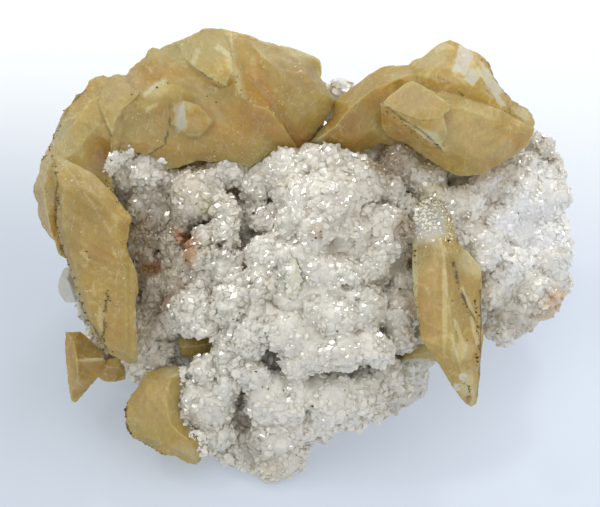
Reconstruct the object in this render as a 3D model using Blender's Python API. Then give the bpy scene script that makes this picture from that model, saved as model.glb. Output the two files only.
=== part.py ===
"""Cabinet specimen: white drusy dolomite rock with honey calcite crystals grown on its face.

The face that carries the crystals leans back. Places on it are written (across, down, out): across from the
left and down from the top in steps of 0.2 mm, and out of the face in millimetres.
"""
import math

import bmesh
import bpy
import numpy as np
from mathutils import Vector
from mathutils.geometry import delaunay_2d_cdt

MM = 0.001
STEP = 0.2                       # one step of the face grid, mm
MIDDLE_STEP = 300.0              # across value of the middle of the face
FOOT_STEP = 486.0                # down value of the lowest point of the face
LEAN = math.radians(45.0)        # lean of the face from upright
GAP = 0.42                       # play between a crystal and its seat, mm
VOXEL = 1.1                      # fineness of the rock before it is faceted, mm
ROCK_TRIANGLES = 6200
FACE_CROWN = 11.0                # height of the rock's face at its middle, mm
CROWN_ACROSS = 0.006             # fall of the face to the sides, per mm squared
CROWN_ALONG = 0.009              # fall of the face to top and foot, per mm squared
OPEN_SIDE = 45.0                 # reach of a seat cutter in front of the crystal, mm
CORNER_LIMIT = 0.8               # keeps the sharp corners of a grown outline from running far out
LUMP_SINK = 0.62                 # share of its radius that a lump's middle lies below its top
LUMP_DEPTH = 0.95                # a lump's radius out of the face over its radius along it
LUMP_LOW = 0.88                  # a lump's points are moved in and out between these shares
LUMP_HIGH = 1.1
BLOCK_WIDE = 300.0               # block that takes off a broken face, mm
BLOCK_DEEP = 60.0
GROUND_LOW = (-90.0, -40.0, -60.0)   # block below the resting face, mm
GROUND_HIGH = (90.0, 120.0, 0.0)


def world(across, down, out):
    """Turn a place on the leaning face into metres."""
    along = (FOOT_STEP - down) * STEP
    return Vector((
        (across - MIDDLE_STEP) * STEP * MM,
        (along * math.sin(LEAN) - out * math.cos(LEAN)) * MM,
        (along * math.cos(LEAN) + out * math.sin(LEAN)) * MM,
    ))


def mesh_object(name, bm):
    """Make an object from a bmesh with outward normals."""
    bmesh.ops.recalc_face_normals(bm, faces=bm.faces)
    mesh = bpy.data.meshes.new(name)
    bm.to_mesh(mesh)
    bm.free()
    made = bpy.data.objects.new(name, mesh)
    bpy.context.scene.collection.objects.link(made)
    return made


def cutter_object(name, bm):
    """Make an object that only takes material away."""
    cutter = mesh_object(name, bm)
    cutter.hide_render = True
    cutter.display_type = "WIRE"
    return cutter


def finished(thing, modifier):
    """Apply the one modifier of an object and drop it."""
    bpy.context.view_layer.update()
    graph = bpy.context.evaluated_depsgraph_get()
    mesh = bpy.data.meshes.new_from_object(thing.evaluated_get(graph))
    thing.modifiers.remove(modifier)
    old = thing.data
    thing.data = mesh
    bpy.data.meshes.remove(old)


def combine(thing, other, operation):
    """Join the other solid to this one or cut it away, and drop the other."""
    boolean = thing.modifiers.new("combine", "BOOLEAN")
    boolean.operation = operation
    boolean.solver = "EXACT"
    boolean.object = other
    finished(thing, boolean)
    bpy.data.objects.remove(other)


def largest_body(thing):
    """Keep the biggest connected body of a solid."""
    bm = bmesh.new()
    bm.from_mesh(thing.data)
    left = set(bm.verts)
    bodies = []
    while left:
        start = left.pop()
        body = {start}
        edge_of_body = [start]
        while edge_of_body:
            vert = edge_of_body.pop()
            for edge in vert.link_edges:
                other = edge.other_vert(vert)
                if other in left:
                    left.remove(other)
                    body.add(other)
                    edge_of_body.append(other)
        bodies.append(body)
    bodies.sort(key=len, reverse=True)
    for body in bodies[1:]:
        bmesh.ops.delete(bm, geom=list(body), context="VERTS")
    bm.to_mesh(thing.data)
    bm.free()


def grown(outline, amount):
    """Move an outline outwards in its plane by an amount in steps."""
    points = np.array([(p[0], p[1]) for p in outline], float)
    before = np.roll(points, 1, axis=0)
    after = np.roll(points, -1, axis=0)
    area = np.sum(points[:, 0] * after[:, 1] - after[:, 0] * points[:, 1])
    turn = 1.0 if area > 0 else -1.0
    first = points - before
    second = after - points
    first /= np.linalg.norm(first, axis=1)[:, None]
    second /= np.linalg.norm(second, axis=1)[:, None]
    normal_one = np.stack([first[:, 1], -first[:, 0]], axis=1) * turn
    normal_two = np.stack([second[:, 1], -second[:, 0]], axis=1) * turn
    normal = normal_one + normal_two
    length = np.maximum(np.linalg.norm(normal, axis=1), CORNER_LIMIT)
    normal = normal / length[:, None]
    moved = points + normal * amount
    return [(m[0], m[1], p[2]) for m, p in zip(moved, outline)]


def shrunk(outline, amount):
    """Draw an outline in towards its middle by an amount in steps."""
    points = np.array([(p[0], p[1]) for p in outline], float)
    middle = points.mean(axis=0)
    reach = np.linalg.norm(points - middle, axis=1).mean()
    moved = middle + (points - middle) * (1.0 - amount / reach)
    return [(m[0], m[1], p[2]) for m, p in zip(moved, outline)]


def flat_fill(bm, rim, corners):
    """Close a rim of vertices with triangles that follow its outline."""
    flat = [Vector((c[0], c[1])) for c in corners]
    count = len(flat)
    edges = [(i, (i + 1) % count) for i in range(count)]
    result = delaunay_2d_cdt(flat, edges, [list(range(count))], 1, 1e-6)
    for face in result[2]:
        bm.faces.new([rim[result[3][i][0]] for i in face])


def plate(name, outline, lines, back, slim, back_slope=(0.0, 0.0)):
    """Crystal plate: rim and ridge lines on its front, walls that lean in to a flat back."""
    bm = bmesh.new()
    front = [bm.verts.new(world(*p)) for p in outline]
    flat = [Vector((p[0], p[1])) for p in outline]
    count = len(outline)
    edges = [(i, (i + 1) % count) for i in range(count)]
    for line in lines:
        start = len(front)
        front += [bm.verts.new(world(*p)) for p in line]
        flat += [Vector((p[0], p[1])) for p in line]
        edges += [(start + i, start + i + 1) for i in range(len(line) - 1)]
    result = delaunay_2d_cdt(flat, edges, [list(range(count))], 1, 1e-6)
    for face in result[2]:
        bm.faces.new([front[result[3][i][0]] for i in face])
    middle_across = sum(p[0] for p in outline) / count
    middle_down = sum(p[1] for p in outline) / count
    inner = shrunk(outline, slim / STEP)
    rim = []
    for across, down, _ in inner:
        out = back
        out += back_slope[0] * (across - middle_across) * STEP
        out += back_slope[1] * (down - middle_down) * STEP
        rim.append(bm.verts.new(world(across, down, out)))
    flat_fill(bm, rim, inner)
    for i in range(count):
        j = (i + 1) % count
        bm.faces.new([front[i], front[j], rim[j], rim[i]])
    bmesh.ops.triangulate(bm, faces=bm.faces)
    return mesh_object(name, bm)


def seat(outline, back, slim, back_slope=(0.0, 0.0)):
    """Cutter for the bed of a plate: its back half grown by the play, open to the front."""
    bm = bmesh.new()
    count = len(outline)
    middle_across = sum(p[0] for p in outline) / count
    middle_down = sum(p[1] for p in outline) / count
    wide = grown(outline, GAP / STEP)
    narrow = grown(shrunk(outline, slim / STEP), GAP / STEP)
    open_rim = [bm.verts.new(world(p[0], p[1], OPEN_SIDE)) for p in wide]
    mouth = [bm.verts.new(world(*p)) for p in wide]
    bed = []
    for across, down, _ in narrow:
        out = back - GAP
        out += back_slope[0] * (across - middle_across) * STEP
        out += back_slope[1] * (down - middle_down) * STEP
        bed.append(bm.verts.new(world(across, down, out)))
    flat_fill(bm, open_rim, wide)
    flat_fill(bm, bed, narrow)
    for i in range(count):
        j = (i + 1) % count
        bm.faces.new([open_rim[i], open_rim[j], mouth[j], mouth[i]])
        bm.faces.new([mouth[i], mouth[j], bed[j], bed[i]])
    bmesh.ops.triangulate(bm, faces=bm.faces)
    return cutter_object("seat cutter", bm)


def cluster(name, plates):
    """Grow several plates together into one solid."""
    whole = plate(name, *plates[0])
    for number, data in enumerate(plates[1:]):
        combine(whole, plate("plate %d" % number, *data), "UNION")
    return whole


def face_height(across, down):
    """Height of the rock's crowned face in millimetres."""
    u = (across - MIDDLE_STEP) * STEP
    v = (FOOT_STEP - down) * STEP
    return FACE_CROWN - CROWN_ACROSS * (u - 2.0) ** 2 - CROWN_ALONG * (v - 38.0) ** 2


def lump(bm, centre, radii, seed):
    """Uneven rounded lump: a small ball with each point moved in or out a little."""
    rng = np.random.default_rng(seed)
    ball = bmesh.ops.create_icosphere(bm, subdivisions=2, radius=1.0)["verts"]
    across_axis = world(MIDDLE_STEP + 1.0 / STEP, FOOT_STEP, 0.0) / MM
    along_axis = world(MIDDLE_STEP, FOOT_STEP - 1.0 / STEP, 0.0) / MM
    out_axis = world(MIDDLE_STEP, FOOT_STEP, 1.0) / MM
    uneven = rng.uniform(LUMP_LOW, LUMP_HIGH, len(ball))
    for vert, swell in zip(ball, uneven):
        p = vert.co * float(swell)
        vert.co = centre + (across_axis * p.x * radii[0] + along_axis * p.y * radii[1]
                            + out_axis * p.z * radii[2]) * MM


# Body of the rock: (across, down, out, radius across, radius down, radius out), radii in millimetres
BODY = [
    (300, 270, -22, 32, 30, 30),
    (268, 365, -10, 17, 18, 13),
    (480, 240, -18, 17, 18, 17),
    (175, 200, -21, 22, 21, 17),
    (330, 150, -20, 29, 13, 19),
    (430, 140, -16, 17, 11, 15),
    (135, 290, -16, 12, 16, 10),
    (350, 370, -12, 17, 10, 12),
]

# Lumps of the face: (across, down, radius in steps, lift above the crowned face in millimetres)
LUMPS = [
    (197, 195, 25, 2.2), (188, 208, 16, 1.0), (172, 243, 11, -1.5), (172, 258, 9, -2.5), (201, 254, 13, 2.6),
    (205, 236, 12, 1.6), (227, 212, 13, 1.0), (228, 232, 12, 1.8), (227, 252, 12, 1.8), (228, 272, 13, 1.2),
    (232, 172, 14, 0.0), (215, 175, 12, 0.0), (258, 190, 15, -2.0), (282, 168, 20, 1.4), (262, 168, 12, -1.0),
    (320, 208, 36, 4.4), (296, 195, 20, 2.0), (346, 195, 22, 2.4), (335, 160, 15, 0.5), (310, 164, 14, 0.8),
    (365, 182, 24, 0.6), (390, 190, 13, -0.6), (352, 160, 12, 0.0), (385, 235, 26, 2.0), (374, 264, 18, 1.0),
    (350, 235, 22, 2.2), (315, 232, 17, 5.0), (288, 228, 16, 2.0), (265, 218, 14, -1.0), (265, 255, 19, 1.8),
    (292, 262, 20, 3.4), (318, 268, 19, 3.0), (345, 275, 20, 2.2), (195, 306, 24, 1.2), (178, 318, 14, -1.0),
    (235, 300, 20, 2.2), (262, 285, 18, 2.2), (245, 335, 20, 1.8), (262, 318, 17, 2.2), (240, 365, 17, 0.4),
    (256, 376, 15, 0.4), (292, 328, 23, 2.8), (292, 298, 18, 2.6), (335, 318, 24, 3.2), (322, 298, 18, 2.4),
    (361, 308, 22, 2.0), (318, 353, 19, 3.6), (343, 350, 21, 4.0), (368, 345, 18, 3.2), (384, 352, 12, 2.0),
    (298, 362, 16, 2.0), (396, 310, 20, -1.0), (396, 336, 15, -2.0), (210, 403, 26, 1.0), (192, 398, 17, 1.4),
    (222, 385, 18, 0.4), (215, 430, 18, 0.0), (274, 400, 28, 0.8), (300, 395, 20, 0.4), (285, 432, 20, 0.6),
    (328, 400, 30, 0.4), (350, 412, 18, -0.6), (366, 394, 24, -0.6), (399, 386, 12, -1.0), (388, 376, 15, -0.8),
    (272, 440, 24, 0.6), (272, 471, 17, 1.8), (287, 462, 17, 1.0), (240, 444, 18, -1.4), (256, 463, 16, 0.0),
    (224, 450, 12, -2.0), (310, 425, 18, -0.4), (143, 168, 15, 6.0), (134, 188, 14, -0.6), (146, 210, 14, -1.0),
    (148, 233, 13, -1.8), (144, 255, 12, -3.0), (160, 196, 12, -0.4), (158, 300, 13, -4.6), (150, 338, 17, -2.4),
    (166, 328, 12, -3.0), (142, 372, 13, -2.2), (160, 356, 11, -2.6), (168, 222, 10, -3.4), (400, 163, 18, -1.6),
    (424, 182, 19, -2.2), (405, 214, 13, -3.2), (402, 248, 12, -2.6), (404, 280, 13, -3.0), (440, 205, 16, -1.0),
    (466, 206, 19, 0.0), (486, 250, 21, 0.8), (470, 232, 15, -0.4), (520, 196, 23, 1.0), (548, 198, 20, 0.2),
    (500, 222, 18, 0.2), (549, 252, 24, 1.2), (536, 292, 24, 1.0), (510, 318, 21, -1.2), (541, 146, 13, -1.4),
    (556, 161, 11, -2.4), (512, 268, 20, 0.6), (492, 292, 17, -1.2), (550, 226, 15, -2.0), (500, 330, 14, -2.2),
    (551, 180, 17, -0.6), (528, 172, 18, -1.4), (558, 282, 13, -0.4), (520, 318, 14, -1.0), (505, 185, 17, -0.6),
    (485, 182, 15, -1.0), (563, 238, 12, 0.0), (88, 312, 12, -6.0), (80, 292, 11, -6.0), (430, 300, 17, -2.6),
    (440, 240, 20, -1.0), (432, 330, 14, -3.2), (447, 275, 20, -1.4), (415, 352, 12, -2.4), (455, 312, 15, -2.8),
    (340, 95, 14, -0.5), (338, 90, 10, 0.6), (425, 360, 12, -3.0), (130, 350, 12, -4.0), (100, 350, 14, -6.5),
    (181, 280, 13, -1.8), (203, 282, 13, -0.2), (163, 264, 11, -4.2), (180, 230, 11, -2.8), (136, 238, 11, -2.4),
    (138, 276, 11, -5.8), (143, 318, 12, -5.0), (226, 348, 12, 0.6), (206, 368, 14, 0.4), (212, 322, 14, 0.8),
    (186, 262, 10, -2.4), (152, 278, 11, -5.4), (166, 283, 10, -4.0), (128, 300, 12, -6.2), (176, 300, 11, -2.0),
    (124, 170, 10, 5.6), (157, 175, 10, 4.6), (128, 182, 10, 2.0), (150, 188, 11, 2.0), (176, 180, 10, 1.4),
]

# Broken bulk under and behind the face, as corner points in millimetres (right, back, up)
BULK = [
    (-12, 10, -3), (-2, 7, -3), (10, 16, -3), (17, 26, -3), (22, 34, -3), (34, 42, -3), (44, 49, -3),
    (47, 60, -3), (44, 66, -3), (14, 69, -3), (-20, 68, -3), (-40, 66, -3), (-44, 57, -3), (-42, 45, -3),
    (-35, 32, -3), (-28, 23, -3), (-42, 57, 30), (-40, 62, 38), (-32, 63, 48), (-8, 64, 50), (20, 63, 50),
    (36, 62, 44), (46, 60, 34), (48, 58, 22), (10, 68, 38), (-16, 68, 34), (0, 58, 47), (-24, 56, 44),
    (28, 58, 44), (0, 20, 6), (-24, 34, 20), (26, 40, 24),
]


# Faces where the rock was broken off: a corner of each plane and its outward direction (right, back, up)
BREAKS = [
    ((0, 66, 20), (0.04, 1.0, -0.06)),
    ((-30, 61, 40), (-0.42, 0.84, 0.34)),
    ((34, 61, 36), (0.36, 0.9, 0.22)),
    ((-44, 50, 14), (-0.86, 0.5, -0.12)),
    ((47, 56, 12), (0.8, 0.58, -0.16)),
    ((10, 66, 8), (0.1, 0.86, -0.5)),
]


def rock():
    """Rock: lumps and broken bulk melted together, then faceted and cut flat where it rests."""
    bm = bmesh.new()
    for number, (across, down, out, wide, high, deep) in enumerate(BODY):
        lump(bm, world(across, down, out), (wide, high, deep), number)
    for number, (across, down, steps, lift) in enumerate(LUMPS):
        radius = steps * STEP
        out = face_height(across, down) + lift - LUMP_SINK * radius
        lump(bm, world(across, down, out), (radius, radius, radius * LUMP_DEPTH), 100 + number)
    hull = [bm.verts.new(Vector(p) * MM) for p in BULK]
    made = bmesh.ops.convex_hull(bm, input=hull)
    loose = [g for g in made["geom_interior"] if isinstance(g, bmesh.types.BMVert)]
    bmesh.ops.delete(bm, geom=loose, context="VERTS")
    body = mesh_object("dolomite_rock", bm)
    remesh = body.modifiers.new("melt", "REMESH")
    remesh.mode = "VOXEL"
    remesh.voxel_size = VOXEL * MM
    finished(body, remesh)
    largest_body(body)
    facet = body.modifiers.new("facet", "DECIMATE")
    facet.ratio = ROCK_TRIANGLES / (2.0 * len(body.data.polygons))
    finished(body, facet)
    return body


def break_cutter(corner, direction):
    """Block that takes off everything beyond a broken face."""
    bm = bmesh.new()
    bmesh.ops.create_cube(bm, size=1.0)
    turn = Vector(direction).normalized().to_track_quat("Z", "Y")
    for vert in bm.verts:
        place = Vector((vert.co.x * BLOCK_WIDE, vert.co.y * BLOCK_WIDE, (vert.co.z + 0.5) * BLOCK_DEEP))
        vert.co = (turn @ place + Vector(corner)) * MM
    return cutter_object("break cutter", bm)


def ground_cutter(low, high):
    """Plain block between two corners in millimetres."""
    bm = bmesh.new()
    bmesh.ops.create_cube(bm, size=1.0)
    middle = (Vector(low) + Vector(high)) * 0.5 * MM
    size = (Vector(high) - Vector(low)) * MM
    for vert in bm.verts:
        vert.co = Vector((vert.co.x * size.x, vert.co.y * size.y, vert.co.z * size.z)) + middle
    return cutter_object("ground cutter", bm)


# Left cluster. Each plate: outline, ridge lines, back height, slimming towards the back, slope of the back
LEFT_CLUSTER = [
    # upper left plate with its outer lobes and the amber hollow
    ([(33, 192, 2.5), (34, 185, 2.5), (37, 178, 2.5), (40, 171, 3), (40, 165, 3), (45, 153, 3), (50, 145, 3),
      (54, 135, 3), (56, 130, 3), (61, 117, 3), (64, 111, 3), (72, 103, 3), (76, 95, 2.5), (81, 93, 2.5),
      (85, 90, 2.5), (90, 80, 2.5), (95, 77, 2.5), (104, 75, 2.5), (108, 77, 2.5), (118, 74, 2.5), (127, 76, 3),
      (150, 100, 5), (152, 154, 3), (126, 160, 4), (112, 175, 4), (116, 205, 3), (100, 240, 2), (66, 259, 2),
      (60, 256, 2), (57, 250, 2), (54, 240, 2), (50, 237, 2), (43, 228, 2), (41, 222, 2), (38, 215, 2.5),
      (38, 203, 2.5), (35, 197, 2.5)],
     [[(44, 190, 6.6), (48, 168, 7), (58, 146, 7), (67, 132, 7.6), (78, 120, 7.2), (90, 102, 6.6), (112, 92, 6.5)],
      [(80, 150, 7.6), (92, 132, 6.8), (104, 126, 7.6)],
      [(88, 168, 4.8), (96, 152, 4.2), (105, 150, 4.4), (108, 170, 4.4)],
      [(112, 140, 7.6), (112, 160, 6.6)],
      [(48, 214, 6.8), (53, 238, 6.2)]],
     -7.5, 2.0, (0.0, 0.0)),
    # middle mass with the chipped ridge
    ([(112, 140, 6), (106, 122, 6), (99, 105, 5), (106, 86, 4), (119, 75, 2.5), (126, 75, 2), (130, 69, 2), (137, 63, 2),
      (145, 57, 2), (148, 51, 2), (153, 47, 2), (160, 49, 2.5), (165, 46, 2.5), (175, 42, 2.5), (190, 37, 2.5),
      (195, 35, 2.5), (202, 29, 2.5), (211, 28, 2.5), (222, 29, 2.5), (232, 31, 2.5), (240, 33, 2.5),
      (250, 35, 2.5), (263, 41, 2.5), (276, 44, 2.5), (288, 60, 4), (296, 100, 5), (299, 149, 1.5),
      (292, 148, 2.5), (280, 150, 3.5), (270, 155, 4.5), (261, 161, 4.8), (250, 168, 5), (240, 164, 5.4),
      (220, 161, 5.6), (212, 163, 5.6), (200, 161, 5.6), (190, 164, 5.6), (179, 168, 5.4), (168, 170, 5.2),
      (162, 163, 5.6), (152, 156, 6), (138, 153, 6), (125, 154, 6)],
     [[(216, 49, 6), (224, 55, 6.8), (232, 66, 7.4), (237, 86, 9.2), (243, 97, 9.8), (256, 106, 9.6),
       (269, 110, 9), (277, 121, 8), (285, 130, 6.8), (292, 141, 4)],
      [(248, 62, 4.6), (256, 86, 5.4), (266, 100, 6.0), (282, 118, 5.6), (290, 132, 3.6)],
      [(125, 100, 7.4), (145, 97, 8.4), (168, 84, 8.6), (176, 64, 6.4)],
      [(128, 128, 7), (146, 118, 6.6), (164, 112, 7.2)],
      [(130, 142, 7.4), (150, 144, 7.6), (168, 150, 7.4)],
      [(138, 80, 6.2), (150, 68, 4.6), (160, 58, 5.2)],
      [(205, 118, 7.2), (225, 124, 8.2), (246, 128, 8.4), (262, 134, 7.4)],
      [(178, 156, 6.8), (200, 152, 7), (230, 153, 7), (256, 154, 6.2)],
      [(203, 96, 7.2), (222, 104, 8.2)]],
     -8.0, 2.2, (0.0, 0.0)),
    # right plate down to the amber notch
    ([(244, 34, 2), (263, 41, 2.2), (280, 46, 2.5), (292, 50, 3), (306, 56, 3), (313, 67, 3), (322, 80, 3),
      (330, 91, 3), (335, 101, 3), (330, 115, 2.6), (320, 127, 2), (310, 140, 1.2), (299, 150, 0.5),
      (291, 139, 3), (281, 124, 5), (268, 108, 5.5), (258, 92, 5), (250, 70, 4)],
     [[(262, 56, 5.2), (280, 72, 7.2), (300, 92, 8.0), (316, 106, 6.4)],
      [(288, 60, 5.6), (306, 74, 6.4), (322, 95, 6.0)],
      [(285, 108, 6.6), (297, 122, 5.6), (301, 138, 2.8)]],
     -7.0, 1.8, (0.0, 0.0)),
    # greenish plate at the top
    ([(175, 43, 3.5), (198, 32, 3.2), (222, 30, 3.4), (229, 42, 5), (233, 58, 7.4), (234, 72, 9), (226, 87, 10.2),
      (212, 81, 10), (200, 73, 9), (186, 60, 6.4)],
     [[(190, 46, 4.9), (208, 52, 7.2), (224, 62, 8.6)]],
     0.0, 1.0, (0.0, 0.0)),
    # pointed tooth plate
    ([(99, 105, 7.6), (103, 115, 8.2), (107, 124, 8.6), (113, 137, 8.4), (117, 122, 8.8), (123, 112, 9.2),
      (141, 95, 9), (130, 84, 6.6), (112, 80, 4.8), (102, 90, 6)],
     [[(110, 108, 8.7), (120, 98, 8.8)]],
     2.0, 0.6, (0.0, 0.0)),
    # bright three-sided facet in the middle
    ([(184, 101, 10), (180, 108, 9.6), (177, 119, 9.2), (171, 124, 8.6), (178, 130, 8.4), (191, 138, 8),
      (204, 135, 8.6), (214, 122, 8.8), (200, 106, 9.4)],
     [[(188, 112, 10.8), (190, 122, 10), (198, 130, 9.2)]],
     2.0, 0.6, (0.0, 0.0)),
    # foreground blade
    ([(57, 158, 7.2), (68, 160, 7.4), (80, 166, 7.8), (92, 172, 8.2), (102, 180, 8.8), (111, 188, 9.2),
      (122, 203, 9.6), (134, 218, 9.6), (131, 226, 9.8), (130, 236, 9.8), (128, 245, 9.8), (130, 253, 9.8),
      (134, 262, 9.8), (138, 271, 9.8), (140, 290, 9.8), (137, 301, 10), (138, 340, 9.2), (139, 361, 8),
      (130, 364, 7.6), (112, 355, 7.8), (103, 348, 8.2), (93, 332, 8.6), (83, 305, 8.6), (77, 290, 8.4),
      (67, 258, 8.2), (58, 233, 8), (57, 215, 8), (58, 195, 8), (53, 168, 7.4)],
     [[(64, 186, 9.6), (64, 225, 10.2), (74, 258, 10.6), (90, 305, 11), (107, 343, 10.4), (127, 352, 10)],
      [(84, 188, 10.8), (102, 200, 11.6), (118, 222, 11.9), (119, 246, 12), (126, 268, 12.2), (128, 300, 12.2),
       (128, 340, 11.2)],
      [(80, 215, 10.6), (88, 250, 11.4), (103, 300, 12)]],
     1.0, 1.6, (0.0, 0.02)),
    # thin pale plate behind the right end
    ([(272, 48, 0.5), (282, 45, 0.5), (291, 47, 0.5), (300, 50, 0.5), (312, 55, 0.5), (320, 60, 0.5),
      (322, 66, 0.5), (321, 84, 0.5), (300, 86, 1.0), (278, 70, 1.0)],
     [],
     -6.0, 1.0, (0.0, 0.0)),
]

RIGHT_CLUSTER = [
    # back left plate
    ([(300, 150, 0.5), (310, 142, 1.4), (320, 129, 2), (331, 118, 2.4), (335, 100, 2.4), (350, 89, 2.4),
      (359, 82, 2.4), (368, 75, 2.4), (378, 69, 2.4), (385, 66, 2.4), (410, 65, 3), (432, 70, 4), (440, 100, 4),
      (424, 142, 1), (395, 146, 1), (380, 144, 1.4), (365, 150, 1.4), (355, 154, 1.4), (340, 150, 1.4),
      (320, 149, 1)],
     [[(316, 141, 3), (334, 128, 5.4), (350, 108, 6.4), (372, 90, 6.8), (398, 78, 6.6)],
      [(352, 140, 4), (372, 130, 5)]],
     -7.0, 2.0, (0.0, 0.0)),
    # top plate
    ([(404, 70, 2.6), (412, 61, 2.6), (422, 57, 2.6), (430, 50, 2.6), (438, 44, 2.6), (450, 40, 2.6),
      (458, 43, 2.6), (466, 48, 2.6), (480, 54, 2.6), (489, 63, 2.6), (494, 77, 2.6), (501, 88, 2.6),
      (508, 95, 2.6), (513, 101, 2.6), (516, 122, 4), (480, 126, 5), (438, 118, 5), (414, 94, 4)],
     [[(420, 76, 6.6), (440, 62, 6.8), (452, 58, 6.4)],
      [(446, 84, 8.8), (458, 68, 7.8), (470, 84, 8.4), (486, 94, 7.8), (500, 104, 6.2)],
      [(474, 62, 5.4), (484, 76, 6.0)]],
     -7.0, 2.0, (0.0, 0.0)),
    # small pale plate at the right edge
    ([(503, 98, 2), (512, 100, 2), (520, 105, 2), (528, 109, 2), (532, 114, 2), (534.5, 121, 2), (534, 131, 2),
      (522, 138, 2), (504, 124, 3)],
     [[(514, 112, 5), (524, 120, 5)]],
     -5.0, 1.2, (0.0, 0.0)),
    # big front plate
    ([(440, 91, 8.6), (460, 97, 9), (480, 103, 9), (500, 110, 8.6), (513, 118, 8), (530, 127, 7), (534, 129, 6.6),
      (532, 135, 6.6), (528, 145, 6.6), (522, 150, 6.6), (508, 160, 6.8), (493, 168, 7), (484, 174, 7),
      (466, 177, 7), (455, 176, 7), (445, 171, 7), (425, 158, 7.2), (405, 144, 7.4), (388, 137, 8),
      (381, 129, 8.6), (380, 112, 9.4), (400, 96, 9.6)],
     [[(392, 118, 12.4), (412, 132, 12.8), (440, 146, 12.2), (465, 160, 10.6)],
      [(430, 104, 12.6), (462, 110, 12.4), (496, 121, 11), (516, 134, 9.8), (494, 152, 10)]],
     -3.0, 1.8, (0.0, 0.0)),
    # striated rhomb on the front plate
    ([(380, 106, 16), (391, 95, 15), (405, 84.5, 14), (412, 82, 13.8), (430, 92, 15), (447, 105, 16.8),
      (449, 112, 17.4), (438, 121, 18), (420, 122, 17.8), (400, 115, 17)],
     [],
     8.0, 0.4, (0.0, 0.0)),
    # striated band below the rhomb
    ([(379.5, 104, 15.4), (390, 108, 16), (404, 114, 16.6), (422, 119, 17.2), (442, 117, 17.2), (447, 134, 14),
      (440, 150, 12.2), (426, 146, 12.4), (410, 139, 12.4), (398, 129, 12.6), (387, 120, 12.6), (380, 113, 13.2)],
     [[(392, 116, 15), (410, 126, 15.4), (430, 132, 15)]],
     7.0, 0.6, (0.0, 0.0)),
]

BLADE = (
    [(414, 207, 6), (411, 225, 8), (411, 260, 11), (412, 290, 12.4), (415, 310, 13), (420, 338, 13.4),
     (430, 354, 13.6), (440, 367, 13.6), (447, 380, 13.4), (456, 393, 13), (464, 403, 12.6), (470, 407, 12.2),
     (475, 403, 12), (477, 392, 12.2), (479, 370, 12.6), (480, 355, 12.6), (482, 338, 12.4), (481.5, 318, 12),
     (480, 305, 11.8), (481, 288, 11.2), (480, 266, 10.6), (465, 250, 10.4), (455, 240, 10), (451, 216, 7.6),
     (441, 202, 5), (426, 198, 5)],
    [[(430, 215, 8.4), (442, 252, 13.6), (446, 290, 15.8), (451, 332, 17), (454, 350, 17.2), (461, 374, 16),
      (468, 396, 13.8)],
     [(431, 343, 15.4), (442, 347, 16.4)],
     [(462, 356, 16.4), (472, 364, 14.8)],
     [(462, 262, 12), (472, 290, 13), (474, 330, 14)]],
    2.4, 2.0, (0.0, 0.36),
)

FOOT_PLATE = (
    [(398, 362, 2), (402, 357, 2.4), (408, 348, 2.6), (418, 343, 2.8), (428, 342, 3), (438, 347, 3),
     (446, 357, 2.8), (440, 361, 2.4), (424, 362, 2)],
    [[(412, 355, 3.4), (428, 352, 3.8)]],
    -5.0, 0.8, (0.0, 0.0),
)

TABLET = (
    [(137, 388, 4.2), (131, 394, 4), (128, 401, 4), (125, 409, 4), (126, 417, 4), (125.5, 424, 3.8),
     (128, 431, 3.6), (133, 438, 3.4), (142, 442, 3.2), (151, 447, 3), (163, 455, 2.8), (175, 456, 2.8),
     (188, 463, 2.4), (197, 465, 2.4), (201, 461, 2.6), (203, 455, 2.8), (207, 451, 3), (208, 436, 3.2),
     (197, 431, 3.4), (186, 424, 3.6), (183, 412, 3.6), (182, 398, 4), (186, 385, 4.4), (190, 374, 4.4),
     (186, 367, 4.2), (175, 365, 4), (160, 368, 4), (149, 371, 4), (142, 379, 4)],
    [[(152, 380, 6.2), (140, 398, 6.4), (136, 420, 6.2), (150, 437, 5.8), (176, 448, 5.2), (194, 456, 4.6)],
     [(172, 376, 6.8), (166, 400, 7.4), (172, 424, 6.8), (192, 442, 5.6)]],
    -4.2, 1.8, (0.0, 0.1),
)

WEDGE = [
    # wedge
    ([(65, 332, -3), (64, 345, -3), (65, 361, -3), (67, 380, -3), (69, 395, -3.4), (71, 402, -3.6), (75, 404, -3.6),
      (79, 400, -3.4), (86, 391, -3.2), (97, 379, -3), (107, 366, -3), (103, 352, -3), (95, 345, -3), (80, 331, -3)],
     [[(73, 340, -1), (77, 360, 0.2), (78, 380, -0.8)],
      [(84, 345, -2), (97, 356, -1)],
      [(78, 360.5, 0.1), (104, 358, -0.6)]],
     -10.0, 1.4, (0.0, 0.04)),
    # small neighbour
    ([(101, 362, -2.4), (110, 358, -2.2), (119, 358, -2.2), (124, 364, -2.4), (125.5, 373, -2.6), (125, 380, -2.8),
      (115, 382.5, -2.8), (103, 382, -2.8), (97, 376, -2.8)],
     [[(106, 368, -1), (118, 368, -0.8)]],
     -9.0, 1.0, (0.0, 0.0)),
]

CLEAR_CRYSTAL = (
    [(64, 268, -1), (60, 277, -1), (58, 285, -1), (59, 293, -1), (66, 303, -1), (76, 302, -1), (80, 292, -1),
     (77, 276, -1), (71, 266, -1)],
    [[(67, 280, 1), (71, 290, 1)]],
    -7.0, 1.2, (0.0, 0.0),
)

PALE_PATCH = (
    [(283, 264, 14.6), (289, 255, 14.6), (296, 259, 14.8), (300, 272, 15), (300, 288, 15), (296, 300, 14.6),
     (289, 297, 14.4), (285, 282, 14.4)],
    [[(291, 268, 15.6), (293, 286, 15.6)]],
    9.6, 0.5, (0.0, 0.0),
)

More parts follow.
